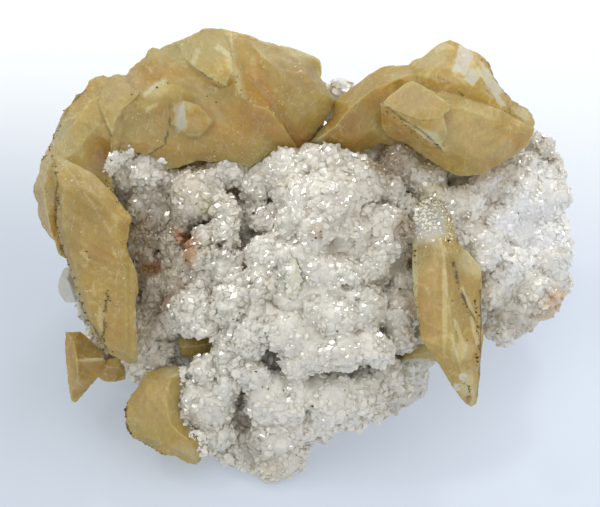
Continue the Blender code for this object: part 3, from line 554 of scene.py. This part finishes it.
# Old growth edges: (across, down) along each; dirt darkens the olive ones, the pale ones are lighter lines
OLIVE_SEAMS = [
    [(52, 157), (55, 165), (59, 185), (57, 192), (56, 217), (59, 235), (62, 250), (69, 265), (72, 280),
     (79, 297), (85, 315), (95, 327), (102, 340), (111, 353)],
    [(109, 295), (106, 317), (106, 330), (101, 340)], [(107, 180), (124, 200), (135, 217)],
    [(170, 105), (170, 127), (165, 145), (150, 155)], [(45, 187), (55, 200)],
    [(56, 130), (72, 103), (86, 90)], [(200, 73), (212, 81), (226, 88)],
    [(381, 104), (400, 120), (420, 132), (440, 150)], [(453, 262), (457, 282), (464, 302), (474, 320)],
    [(479, 290), (480, 320), (479, 350), (478, 375), (476, 396)], [(432, 76), (446, 82), (462, 96)],
    [(487, 60), (494, 78), (506, 94)], [(127, 402), (125, 420), (134, 440), (160, 455)],
]
PALE_SEAMS = [
    [(59, 158), (74, 176), (87, 194), (103, 218), (117, 241)], [(112, 244), (120, 263), (126, 249)],
    [(102, 305), (99, 322), (104, 331)], [(100, 104), (107, 120), (114, 135), (117, 110)],
    [(60, 122), (76, 117), (77, 137)], [(85, 252), (90, 260), (87, 266)],
    [(136, 262), (139, 290), (136, 330)], [(230, 32), (234, 56), (238, 80), (243, 97)],
    [(180, 102), (175, 120), (187, 135), (201, 136)], [(448, 62), (455, 76), (470, 90)],
    [(496, 86), (488, 104), (505, 110)], [(392, 96), (412, 84), (430, 93), (447, 106)],
    [(411, 235), (411, 270), (414, 310)], [(440, 240), (445, 290), (452, 345)],
    [(452, 345), (462, 376), (470, 402)], [(466, 252), (480, 270)], [(79, 360), (104, 358)],
    [(398, 361), (424, 362)],
]


def seam_distance(place, rows):
    """Distance in steps from each place on the face to the nearest piece of the bent lines given."""
    nearest = np.full(len(place), 99.0)
    for row in rows:
        for start, end in zip(row[:-1], row[1:]):
            along = np.array(end, float) - np.array(start, float)
            part = np.clip((place[:, :2] - np.array(start, float)) @ along / (along @ along), 0.0, 1.0)
            foot = np.array(start, float) + part[:, None] * along
            nearest = np.minimum(nearest, np.linalg.norm(place[:, :2] - foot, axis=1))
    return nearest


# Honey calcite: cloudy and a little clear; light soaks in a few millimetres, so edges and thin plates glow.
# Its tone is lifted because part of the light passes through; fine cleavage lines and painted glints lie in
# it.
honey_look, honey_tree, honey_shader = new_look("honey calcite", {
    "Roughness": 0.12, "Transmission Weight": 0.45, "IOR": 1.6, "Subsurface Weight": 1.0,
    "Subsurface Radius": (1.0, 0.75, 0.4), "Subsurface Scale": 0.005})
honey_tone_and_light = add_node(honey_tree, "ShaderNodeAttribute", {"attribute_name": "stain_and_painted_light"}, {})
honey_place = add_node(honey_tree, "ShaderNodeTexCoord", {}, {})
honey_factor = None
for turn, stretch, low_value, high_value in (
        ((0.3, 0.2, 0.1), (260.0, 260.0, 260.0), 0.89, 1.11),
        ((0.8, 0.3, 0.2), (1800.0, 900.0, 260.0), 0.93, 1.07),
        ((0.0, 0.0, 0.0), (1900.0, 1900.0, 1900.0), 1.34, 1.54)):
    honey_turned = add_node(
        honey_tree, "ShaderNodeMapping", {"Rotation": turn, "Scale": stretch},
        {"Vector": honey_place.outputs["Object"]})
    honey_noise = add_node(
        honey_tree, "ShaderNodeTexNoise", {"Scale": 1.0, "Detail": 4.0, "Roughness": 0.6},
        {"Vector": honey_turned.outputs["Vector"]})
    honey_range = add_node(
        honey_tree, "ShaderNodeMapRange",
        {"From Min": 0.3, "From Max": 0.7, "To Min": low_value, "To Max": high_value},
        {"Value": honey_noise.outputs["Fac"]})
    if honey_factor is None:
        honey_factor = honey_range.outputs["Result"]
    else:
        honey_product = add_node(honey_tree, "ShaderNodeMath", {"operation": "MULTIPLY"}, {})
        honey_tree.links.new(honey_factor, honey_product.inputs[0])
        honey_tree.links.new(honey_range.outputs["Result"], honey_product.inputs[1])
        honey_factor = honey_product.outputs["Value"]
honey_tone = add_node(
    honey_tree, "ShaderNodeVectorMath", {"operation": "SCALE"},
    {"Vector": honey_tone_and_light.outputs["Color"], "Scale": honey_factor})
honey_patch = add_node(
    honey_tree, "ShaderNodeTexNoise", {"Scale": 330.0, "Detail": 3.0},
    {"Vector": honey_place.outputs["Object"]})
honey_limit = add_node(
    honey_tree, "ShaderNodeVectorMath", {"operation": "MINIMUM"}, {"Vector": honey_tone.outputs["Vector"]})
honey_limit.inputs[1].default_value = (0.92, 0.88, 0.8)
honey_colour = honey_limit.outputs["Vector"]
for turn, bands, patch_low in (
        ((0.5, 0.4, 0.9), 190.0, 0.5), ((0.9, -0.3, -0.6), 150.0, 0.52), ((0.2, 1.1, 0.1), 230.0, 0.54)):
    cleft_turned = add_node(
        honey_tree, "ShaderNodeMapping", {"Rotation": turn}, {"Vector": honey_place.outputs["Object"]})
    cleft_wave = add_node(
        honey_tree, "ShaderNodeTexWave",
        {"Scale": bands, "Distortion": 5.0, "Detail": 3.0, "Detail Scale": 0.6, "Detail Roughness": 0.55},
        {"Vector": cleft_turned.outputs["Vector"]})
    cleft_line = add_node(
        honey_tree, "ShaderNodeMapRange", {"From Min": 0.97, "From Max": 1.0, "To Max": 0.5},
        {"Value": cleft_wave.outputs["Fac"]})
    cleft_patch = add_node(
        honey_tree, "ShaderNodeMapRange", {"From Min": patch_low, "From Max": patch_low + 0.12},
        {"Value": honey_patch.outputs["Fac"]})
    cleft_share = add_node(honey_tree, "ShaderNodeMath", {"operation": "MULTIPLY"}, {})
    honey_tree.links.new(cleft_line.outputs["Result"], cleft_share.inputs[0])
    honey_tree.links.new(cleft_patch.outputs["Result"], cleft_share.inputs[1])
    cleft_mix = add_node(honey_tree, "ShaderNodeMix", {"data_type": "RGBA"}, {})
    honey_tree.links.new(cleft_share.outputs["Value"], cleft_mix.inputs["Factor"])
    honey_tree.links.new(honey_colour, cleft_mix.inputs[6])
    cleft_mix.inputs[7].default_value = colour("#E9DEB4")
    honey_colour = cleft_mix.outputs[2]
# Glints: tiny bright specks painted into the base colour.
glint_noise = add_node(
    honey_tree, "ShaderNodeTexNoise", {"Scale": 2600.0, "Detail": 1.0},
    {"Vector": honey_place.outputs["Object"]})
glint_spot = add_node(
    honey_tree, "ShaderNodeMapRange", {"From Min": 0.71, "From Max": 0.76, "To Max": 0.7},
    {"Value": glint_noise.outputs["Fac"]})
glint_mix = add_node(
    honey_tree, "ShaderNodeMix", {"data_type": "RGBA"}, {"Factor": glint_spot.outputs["Result"]})
honey_tree.links.new(honey_colour, glint_mix.inputs[6])
glint_mix.inputs[7].default_value = colour("#F0E8CC")
honey_tree.links.new(glint_mix.outputs[2], honey_shader.inputs["Base Color"])
honey_etch = add_node(
    honey_tree, "ShaderNodeTexNoise", {"Scale": 1600.0, "Detail": 5.0, "Roughness": 0.7},
    {"Vector": honey_place.outputs["Object"]})
honey_bump = add_node(
    honey_tree, "ShaderNodeBump", {"Strength": 0.6, "Distance": 0.0002},
    {"Height": honey_etch.outputs["Fac"]})
honey_tree.links.new(honey_bump.outputs["Normal"], honey_shader.inputs["Normal"])


def honey_crystal(name, node, spacing, growth, tones, seed):
    """Calcite piece: the CAD crystal on an even net, with growth layers along one direction, fine etching,
    chipped ridges painted pale as highlights, thin rims painted pale green as glow, hollows painted a
    lighter amber against their shade, veils and flecks painted as reflections and glints, and the listed
    patches of tone."""
    thing = even_net(name, node, spacing, sharp=True)
    points = point_array(thing.data)
    normals = normal_array(thing.data)
    rounds = int(0.7 / spacing ** 2)
    stand = np.einsum("nd,nd->n", points - relaxed(points, thing.data, rounds), normals)
    layer = points @ (np.array(growth) / np.linalg.norm(growth)) / TERRACE
    layer += 2.2 * rough_noise(points, 8.0, 3, seed)
    saw = layer - np.floor(layer)
    rise = -TERRACE_STEP * saw
    rise += ETCH * 2.0 * (rough_noise(points, 1.1, 2, seed + 11) - 0.5)
    chip = smooth_step(0.55, 0.8, smooth_noise(points, 1.5, seed + 17))
    rise -= 0.4 * chip * smooth_step(0.1, 0.35, stand)
    moved(thing, points + normals * rise[:, None])
    place = face_place(points)
    cloud = rough_noise(points, 10.0, 2, seed + 23)
    honey = linear("#B59C52")
    amber = linear("#AF8E43")
    pale = linear("#CFC593")
    green = linear("#A79F6E")
    tint = amber + (honey - amber) * smooth_step(0.32, 0.52, cloud)[:, None]
    tint = tint + (green - tint) * (0.3 * smooth_step(0.52, 0.66, cloud))[:, None]
    # Thin rims painted pale green as glow where light passes through; hollows painted a lighter amber
    # against their shade.
    reach = int(30.0 * 0.42 / spacing)
    thin = np.einsum("nd,nd->n", points - relaxed(points, thing.data, 3 * reach), normals)
    rim_glow = smooth_step(0.25, 1.1, thin + 0.5 * (rough_noise(points, 2.5, 2, seed + 5) - 0.5))
    tint = tint + (green - tint) * (0.75 * rim_glow)[:, None]
    tint = tint + (linear("#C09C56") - tint) * (0.7 * smooth_step(0.2, 1.0, -thin))[:, None]
    line = smooth_step(0.86, 1.0, saw) * smooth_step(0.45, 0.65, rough_noise(points, 2.0, 2, seed + 7))
    tint = tint + (pale - tint) * (0.45 * line)[:, None]
    # Veils: pale wisps painted as reflections inside the crystal.
    veil_reflection = 1.0 - smooth_step(0.0, 0.02, np.abs(rough_noise(points, 5.0, 3, seed + 31) - 0.5))
    tint = tint + (pale - tint) * (0.5 * veil_reflection)[:, None]
    ahead = smooth_step(-0.35, 0.15, normals @ OUT)
    ragged_tone = 0.7 * (rough_noise(points, 2.4, 3, seed + 41) - 0.5)
    tint = tint + (marked(tint, place, tones, ragged_tone, 0.45, False) - tint) * ahead[:, None]
    ragged_chip = 0.9 * (rough_noise(points, 1.2, 2, seed + 43) - 0.5)
    tint = tint + (marked(tint, place, CHIPS, ragged_chip, 0.8, True) - tint) * ahead[:, None]
    # Ridges painted pale as highlights where they catch the light.
    edge_highlight = smooth_step(0.04, EDGE_HIGHLIGHT, stand) * (0.35 + 0.65 * smooth_noise(points, 1.3, seed + 47))
    tint = tint + (pale - tint) * (0.3 * edge_highlight)[:, None]
    # Small pale flecks painted as glints.
    flaw_glint = smooth_step(0.84, 0.92, smooth_noise(points, 0.7, seed + 53))
    tint = tint + (pale - tint) * (0.4 * flaw_glint)[:, None]
    for rows, code, strength in ((OLIVE_SEAMS, "#4E4218", 0.85), (PALE_SEAMS, "#E4DBB2", 0.35)):
        ragged_seam = 2.4 * (rough_noise(points, 1.6, 2, seed + 59) - 0.42)
        seam = 1.0 - smooth_step(0.2, 1.5, seam_distance(place, rows) + ragged_seam)
        tint = tint + (linear(code) - tint) * (strength * ahead * seam)[:, None]
    paint(thing.data, tint)
    thing.data.materials.append(honey_look)
    thing.data.polygons.foreach_set("use_smooth", np.ones(len(thing.data.polygons), dtype=bool))
    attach(thing, "root")
    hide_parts(node)
    return thing


# Patches of tone, listed like the chips; the dark amber ones along the right side of the upper left plate
# and in the notch between the clusters are painted shade.
LEFT_TONES = [
    (98, 156, 14, 22, 0, "#A9803F", 0.7), (64, 130, 14, 22, 0, "#A69F72", 0.7),
    (150, 150, 34, 14, 0, "#B58D48", 0.5), (118, 112, 12, 20, 0, "#C2AE78", 0.5),
    (190, 46, 56, 26, -8, "#A89E6E", 0.75), (262, 92, 14, 34, -30, "#C49A50", 0.6),
    (236, 74, 6, 26, -25, "#DCD0A2", 0.5), (300, 143, 16, 12, -40, "#B58442", 0.7),
    (292, 75, 30, 26, 20, "#A38A56", 0.6), (225, 122, 60, 22, 8, "#C8A050", 0.5),
    (158, 92, 14, 8, -20, "#D6CA9C", 0.5), (112, 86, 22, 30, 35, "#B6AA7A", 0.65),
    (276, 52, 36, 13, 25, "#A99E70", 0.6), (66, 150, 12, 30, 10, "#B8AD80", 0.5),
    (195, 126, 9, 9, 0, "#C9B47C", 0.5), (112, 145, 3, 22, 0, "#7E5D2A", 0.5),
    (45, 200, 12, 46, 0, "#B5A878", 0.6), (300, 52, 24, 7, 15, "#CFC7A6", 0.6),
    (92, 205, 26, 44, 0, "#A28C4C", 0.6), (70, 235, 12, 60, -12, "#A29662", 0.6),
    (100, 256, 14, 18, 0, "#B08E4A", 0.4), (118, 320, 14, 36, 0, "#BCA05E", 0.4),
    (134, 300, 4, 60, 0, "#C7B886", 0.5), (80, 168, 24, 5, 20, "#C4B582", 0.5),
    (103, 318, 4, 14, 0, "#D2C698", 0.6), (130, 84, 24, 12, -40, "#B8A676", 0.5),
    (220, 150, 40, 8, 0, "#B18D48", 0.4), (205, 100, 8, 34, -38, "#CDBC88", 0.5),
    (160, 118, 8, 26, 10, "#B58E4C", 0.5), (270, 128, 30, 12, 30, "#B4914F", 0.4),
]
left_cluster = honey_crystal("left_cluster", "calcite_cluster_left", 0.42, (0.5, 0.3, 0.9), LEFT_TONES, 301)
left_points = point_array(left_cluster.data)
left_facing = smooth_step(-0.2, 0.4, normal_array(left_cluster.data) @ OUT)
chip_tint = np.tile(linear("#D8C99A"), (len(left_points), 1))
chip_chance = left_facing * smooth_step(0.5, 0.75, rough_noise(left_points, 5.0, 3, 311))
grow_rhombs(
    "left_chips_0", left_cluster.data, chip_chance, chip_tint, 600, 313, druse_look, 0.3, (-0.5, -0.2))
FROST_TINT = linear("#EFECE0")
LEFT_FOOT = [(111, 168), (120, 158), (132, 154), (146, 157), (158, 163)]
left_frost = left_facing * smooth_step(0.4, 0.6, rough_noise(left_points, 4.0, 2, 318))
left_frost *= 1.0 - smooth_step(1.0, 9.0, seam_distance(face_place(left_points), [LEFT_FOOT]))
grow_rhombs(
    "left_frost_0", left_cluster.data, left_frost, np.tile(FROST_TINT, (len(left_points), 1)),
    260, 317, druse_look, 1.0, (-0.4, 0.0))

# Honey calcite: right cluster.
# A back plate, a top plate, a small edge plate, a big front plate and a striated rhomb lying on it.
# They are grown together and rooted in the druse on the upper right.
RIGHT_TONES = [
    (412, 102, 34, 16, 10, "#C0AA76", 0.8), (412, 136, 32, 8, 28, "#A88342", 0.5),
    (464, 66, 14, 20, 20, "#CFC596", 0.6), (492, 84, 9, 22, -35, "#CDC294", 0.6),
    (430, 58, 20, 14, 0, "#BFB78C", 0.7), (470, 132, 44, 26, 20, "#D0BC82", 0.75),
    (345, 128, 28, 20, -30, "#AF8843", 0.5), (372, 84, 34, 10, -30, "#B39A62", 0.5),
    (316, 144, 14, 6, -40, "#CFC395", 0.5), (396, 140, 14, 10, 30, "#A47A36", 0.5),
    (522, 116, 10, 12, 30, "#CDC3A0", 0.7), (430, 138, 14, 6, 30, "#E2D8B2", 0.6),
    (440, 86, 22, 10, 15, "#B08C50", 0.5), (398, 76, 18, 6, -10, "#C7BB8C", 0.5),
    (500, 150, 16, 12, 0, "#C1B07A", 0.5),
]
right_cluster = honey_crystal(
    "right_cluster", "calcite_cluster_right", 0.38, (-0.6, 0.2, 0.8), RIGHT_TONES, 331)

# Honey calcite: the standing blade and the small plate at its foot.
# The blade springs from the druse right of the middle; its head is etched and frosted white.
BLADE_TONES = [
    (428, 222, 22, 24, 0, "#EDE8D8", 0.85), (430, 300, 16, 60, 0, "#CDB071", 0.55),
    (462, 310, 10, 50, -8, "#B29454", 0.5), (443, 300, 3, 60, 0, "#E3D6A8", 0.6),
    (470, 262, 12, 20, -35, "#DDD0A4", 0.6), (460, 350, 14, 12, 0, "#E0D4AC", 0.5),
    (466, 385, 10, 24, 0, "#D9D0AE", 0.6), (467, 398, 4, 6, 0, "#8C5A1C", 0.7),
    (414, 300, 3, 70, 0, "#E6DBAE", 0.6),
]
blade = honey_crystal("blade", "calcite_blade", 0.3, (0.3, 0.5, -0.9), BLADE_TONES, 353)
blade_points = point_array(blade.data)
head_limit = face_place(blade_points)[:, 1] + 14.0 * (rough_noise(blade_points, 3.0, 2, 71) - 0.5)
on_head = 1.0 - smooth_step(205.0, 248.0, head_limit)
on_head *= smooth_step(-0.2, 0.2, normal_array(blade.data) @ OUT)
head_tint = np.tile(linear("#EFEAD9"), (len(blade_points), 1))
grow_rhombs("blade_frost_0", blade.data, on_head, head_tint, 700, 91, druse_look, 0.55, (-0.5, -0.2))
FOOT_TONES = [(415, 361, 20, 3, 0, "#EFE8CC", 0.9), (420, 350, 20, 10, 0, "#C9B888", 0.6)]
foot_plate = honey_crystal("foot_plate", "calcite_foot_plate", 0.22, (1.0, 0.0, 0.2), FOOT_TONES, 367)

# Honey calcite: tablet, wedge and the small olive crystal.
# Single crystals rooted in the lower left of the rock and in the crevice left of the middle.
TABLET_TONES = [
    (160, 400, 26, 34, 0, "#BCA267", 0.5), (140, 400, 8, 30, 0, "#A8905A", 0.5),
    (185, 450, 20, 10, 20, "#C4B58A", 0.6), (176, 372, 14, 6, 0, "#D6CBA4", 0.5),
    (192, 400, 7, 44, -6, "#D9D4C2", 0.8), (206, 446, 8, 16, 0, "#D9D4C2", 0.7),
]
tablet = honey_crystal("tablet", "calcite_tablet", 0.3, (0.7, 0.2, 0.6), TABLET_TONES, 373)
TABLET_FOOT = [(187, 368), (186, 385), (185, 405), (190, 425), (200, 440), (207, 455)]
tablet_points = point_array(tablet.data)
tablet_frost = smooth_step(-0.4, 0.2, normal_array(tablet.data) @ OUT)
tablet_frost *= 1.0 - smooth_step(2.0, 8.0, seam_distance(face_place(tablet_points), [TABLET_FOOT]))
grow_rhombs(
    "tablet_frost_0", tablet.data, tablet_frost, np.tile(FROST_TINT, (len(tablet_points), 1)),
    300, 375, druse_look, 1.1, (-0.4, 0.1))
WEDGE_TONES = [
    (86, 350, 16, 12, 0, "#96804E", 0.7), (92, 360, 18, 2, 0, "#DACFA8", 0.6),
    (80, 382, 14, 20, 0, "#A08C5E", 0.6),
]
wedge = honey_crystal("wedge", "calcite_wedge", 0.28, (0.3, 0.4, 0.8), WEDGE_TONES, 379)
OLIVE_TONES = [(198, 346, 24, 14, 0, "#A9975C", 0.6)]
olive_crystal = honey_crystal("olive_crystal", "crevice_crystal", 0.24, (1.0, 0.1, 0.1), OLIVE_TONES, 383)

# Clear and pale calcite.
# A small rounded clear crystal at the left edge and a pale greenish one sunk in the middle of the druse.
# Both are calcite grown into the rock; the greenish one carries a few rhombs.
for name, node, tone, clear in (
        ("glassy_crystal", "clear_crystal", "#EEF0E8", 0.6),
        ("cream_crystal", "pale_crystal", "#DEDBC6", 0.0)):
    # Pale calcite: a cloudy glass, lighter than the druse where it is thin.
    pale_look, _, _ = new_look(name.replace("_", " ") + " calcite", {
        "Base Color": colour(tone), "Roughness": 0.3, "IOR": 1.6, "Transmission Weight": clear,
        "Subsurface Weight": 1.0, "Subsurface Radius": (1.0, 1.0, 1.0), "Subsurface Scale": 0.0006})
    crystal = even_net(name, node, 0.25)
    pale_points = point_array(crystal.data)
    rough_skin = rough_noise(pale_points, 2.2, 3, 401) - 0.5
    moved(crystal, pale_points + normal_array(crystal.data) * (rough_skin * 0.7)[:, None])
    crystal.data.materials.append(pale_look)
    crystal.data.polygons.foreach_set("use_smooth", np.ones(len(crystal.data.polygons), dtype=bool))
    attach(crystal, "root")
    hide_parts(node)
cream_frost = np.tile(linear("#EBE9DA"), (len(pale_points), 1))
cream_front = smooth_step(-0.2, 0.3, normal_array(crystal.data) @ OUT)
grow_rhombs("cream_frost_0", crystal.data, cream_front, cream_frost, 90, 411, druse_look, 0.8, (-0.4, 0.0))

# Specks.
# Dark grains of iron and manganese oxide caught in and on the crystals, in rows along old growth edges.
# Each is a small stretched octahedron, half sunk in the surface that lies furthest out at its place.
SPECK_ROWS = [
    [(52, 155), (56, 168), (59, 180), (58, 195), (57, 215), (58, 233), (62, 243), (67, 258), (71, 272),
     (77, 290), (82, 303), (86, 316), (93, 332), (103, 347), (112, 354)],
    [(108, 290), (109, 303), (105, 311), (106, 328), (105, 340), (108, 352)],
    [(83, 246), (90, 258), (95, 270)], [(104, 181), (112, 190), (120, 202), (130, 212)],
    [(41, 160), (50, 146), (57, 130), (64, 111)], [(200, 73), (211, 81), (221, 88)],
    [(233, 74), (238, 87), (244, 97), (256, 105)], [(452, 262), (456, 280), (462, 300), (470, 318)],
    [(474, 300), (477, 320), (477, 345), (475, 365)], [(460, 376), (468, 385), (468, 398)],
    [(383, 112), (398, 122), (412, 134), (436, 148)],
    [(127, 402), (125, 415), (127, 430), (136, 440), (150, 447), (165, 456)],
    [(414, 250), (414, 290), (418, 325)],
]
SPECK_SPOTS = [
    (321, 231), (320, 237), (315, 239), (312, 241), (317, 234), (406, 209), (361, 200), (399, 287),
    (252, 213), (183, 298), (209, 297), (241, 312), (257, 372), (262, 386), (268, 388), (133, 95),
    (157, 87), (169, 84), (207, 98), (217, 103), (163, 128), (242, 127), (214, 153), (482, 60), (203, 210),
    (197, 205), (190, 222), (458, 385), (455, 331), (448, 240), (451, 300), (466, 340), (77, 318),
    (84, 322), (232, 318), (302, 308), (336, 330), (356, 300), (284, 390), (312, 405), (345, 390),
    (505, 240), (520, 215), (540, 260), (498, 282),
]
SPECK_LOW = 0.07                 # half length of a grain before its own stretch, mm
SPECK_HIGH = 0.3


def along_row(row, spacing, rng_row):
    """Places along a bent line: even steps of its length, moved a little at random."""
    corners_of_row = np.array(row, float)
    lengths = np.linalg.norm(np.diff(corners_of_row, axis=0), axis=1)
    reach = np.concatenate([[0.0], np.cumsum(lengths)])
    steps = np.arange(0.0, reach[-1], spacing)
    steps = steps + rng_row.normal(0.0, 2.0, len(steps))
    steps = steps[rng_row.random(len(steps)) < 0.75]
    places = np.stack([np.interp(steps, reach, corners_of_row[:, k]) for k in range(2)], axis=1)
    return places + rng_row.normal(0.0, 0.9, places.shape)


def nearest_front(places, points, grid):
    """For each place on the face, the surface point that lies closest to it and furthest out."""
    found = []
    for group in np.array_split(places, 12):
        gap = np.hypot(group[:, 0, None] - grid[None, :, 0], group[:, 1, None] - grid[None, :, 1])
        score = np.where(gap < 2.5, grid[None, :, 2] - 0.4 * gap, -1000.0 - gap)
        found.append(points[np.argmax(score, axis=1)])
    return np.concatenate(found)


speck_rng = np.random.default_rng(977)
row_places = [along_row(row, 1.3, speck_rng) for row in SPECK_ROWS]
speck_places = np.concatenate(row_places + [np.array(SPECK_SPOTS, float)])
front_points = np.concatenate([shown_points] + [point_array(thing.data) for thing in (
    left_cluster, right_cluster, blade, foot_plate, tablet, wedge)])
front_grid = face_place(front_points)
ahead = front_grid[:, 2] > -12.0
speck_spots = nearest_front(speck_places, front_points[ahead], front_grid[ahead])
speck_size = SPECK_LOW + (SPECK_HIGH - SPECK_LOW) * speck_rng.random(len(speck_spots)) ** 3
speck_size[-len(SPECK_SPOTS):] += 0.1
grain_corners = np.array([[1, 0, 0], [-1, 0, 0], [0, 1, 0], [0, -1, 0], [0, 0, 1], [0, 0, -1]], float)
grain_faces = np.array(
    [[0, 2, 4], [2, 1, 4], [1, 3, 4], [3, 0, 4], [2, 0, 5], [1, 2, 5], [3, 1, 5], [0, 3, 5]])
speck_stretch = speck_rng.uniform(0.6, 1.4, (len(speck_spots), 1, 3))
speck_solid = grain_corners[None] * speck_stretch * speck_size[:, None, None]
speck_solid = speck_solid + (speck_spots + OUT * 0.08)[:, None, :]
speck_faces = (grain_faces[None] + 6 * np.arange(len(speck_spots))[:, None, None]).reshape(-1, 3)
# Iron oxide grains: near black with a brown cast, dull.
speck_look, _, _ = new_look("iron oxide grains", {"Base Color": colour("#3E3010"), "Roughness": 0.6})
specks = faceted(
    "oxide_specks", speck_solid.reshape(-1, 3), speck_faces.ravel(), np.arange(len(speck_faces)) * 3,
    np.tile(linear("#3E3010"), (speck_solid.size // 3, 1)), speck_look)
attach(specks, "root")

# Studio.
# A pale table, painted whiter towards the back and lighter on the right and in front as painted light, that
# glows a little from below, so shadows stay faint.
# One lamp stands behind on the right, a weaker one on the left, and the air is brighter overhead.
# The camera looks straight at the leaning face from far off.
TABLE_HALF = 3.0                 # half the table's width, m
TABLE_GLOW = 0.8                 # share of its own tone that the table gives off
TABLE_COUNT = 241                # points along one side, closest together in the middle
CAMERA_AIM = 46.5                # how far up the leaning face the camera aims, mm
CAMERA_FAR = 1500.0              # how far off it stands, mm
table_line = TABLE_HALF * np.linspace(-1, 1, TABLE_COUNT) ** 3
table_x, table_y = np.meshgrid(table_line, table_line)
table_points = np.stack([table_x.ravel(), table_y.ravel(), np.zeros(TABLE_COUNT ** 2)], axis=1)
corner = (np.arange(TABLE_COUNT - 1)[:, None] * TABLE_COUNT + np.arange(TABLE_COUNT - 1)).ravel()
table_faces = np.stack([corner, corner + 1, corner + TABLE_COUNT + 1, corner + TABLE_COUNT], axis=1)
floor_mesh = bpy.data.meshes.new("table")
floor_mesh.from_pydata(table_points.tolist(), [], table_faces.tolist())
floor = bpy.data.objects.new("table", floor_mesh)
bpy.context.scene.collection.objects.link(floor)
# Painted light: lighter to the right, whiter towards the back and a little lighter in front on the left.
right_share = np.clip((table_points[:, 0] + 0.06) / 0.12, 0.0, 1.0)
near_tone = linear("#9CA3AC") + (linear("#A9B0BB") - linear("#9CA3AC")) * right_share[:, None]
back_share = smooth_step(0.03 - 0.02 * right_share, 0.105, table_points[:, 1])
front_share = 1.0 - smooth_step(-0.035, 0.0, table_points[:, 1])
# A faint pool of light lies on the table right of the middle.
pool = np.exp(-((table_points[:, 0] - 0.042) / 0.03) ** 2 - ((table_points[:, 1] + 0.008) / 0.024) ** 2)
table_tone_and_light = near_tone + (linear("#C1C4C6") - near_tone) * back_share[:, None]
table_tone_and_light = table_tone_and_light * (1.0 + 0.08 * front_share * (1.0 - right_share) + 0.14 * pool)[:, None]
paint(floor_mesh, table_tone_and_light)
# White table: matt and glowing from below, so it hardly mirrors and its shadows stay faint.
table_look, table_tree, table_shader = new_look("white table", {
    "Roughness": 0.9, "Specular IOR Level": 0.1, "Emission Strength": TABLE_GLOW})
table_tone = add_node(table_tree, "ShaderNodeAttribute", {"attribute_name": "stain_and_painted_light"}, {})
table_tree.links.new(table_tone.outputs["Color"], table_shader.inputs["Base Color"])
table_tree.links.new(table_tone.outputs["Color"], table_shader.inputs["Emission Color"])
floor_mesh.materials.append(table_look)


def soft_light(name, place, target, size, power, tint):
    """Square lamp at a place, turned to face a target, all in metres and watts."""
    lamp = bpy.data.lights.new(name, "AREA")
    lamp.size = size
    lamp.energy = power
    lamp.color = tint
    thing = bpy.data.objects.new(name, lamp)
    thing.location = place
    thing.rotation_euler = (Vector(target) - Vector(place)).to_track_quat("-Z", "Y").to_euler()
    bpy.context.scene.collection.objects.link(thing)
    return thing


back_lamp = soft_light("back lamp", (0.35, 0.75, 1.0), (0, 0, 0.03), 0.18, 2.2, (1.0, 0.99, 0.97))
side_lamp = soft_light("side lamp", (-0.75, 0.2, 1.0), (0, 0, 0.03), 0.16, 1.3, (1.0, 0.99, 0.97))
world = bpy.data.worlds.new("studio air")
bpy.context.scene.world = world
world.use_nodes = True
air_tree = world.node_tree
air_tree.nodes["Background"].inputs["Color"].default_value = colour("#FFFFFF")
air_direction = add_node(air_tree, "ShaderNodeTexCoord", {}, {})
air_parts = add_node(
    air_tree, "ShaderNodeSeparateXYZ", {}, {"Vector": air_direction.outputs["Generated"]})
air_height = add_node(
    air_tree, "ShaderNodeMapRange",
    {"From Min": -0.1, "From Max": 1.0, "To Min": 0.45, "To Max": 1.15},
    {"Value": air_parts.outputs["Z"]})
air_tree.links.new(air_height.outputs["Result"], air_tree.nodes["Background"].inputs["Strength"])
bpy.context.scene.view_settings.view_transform = "Standard"

camera_data = bpy.data.cameras.new("camera")
camera_data.lens = 450.0
camera_data.sensor_width = 36.0
camera_data.clip_end = 20.0
camera = bpy.data.objects.new("camera", camera_data)
aim = np.array([0.0, CAMERA_AIM * LEAN_SIN, CAMERA_AIM * LEAN_COS]) - FACE_SHIFT
camera.location = (aim + OUT * CAMERA_FAR) * MM
camera.rotation_euler = (math.radians(45.0), 0.0, 0.0)
bpy.context.scene.collection.objects.link(camera)
bpy.context.scene.camera = camera
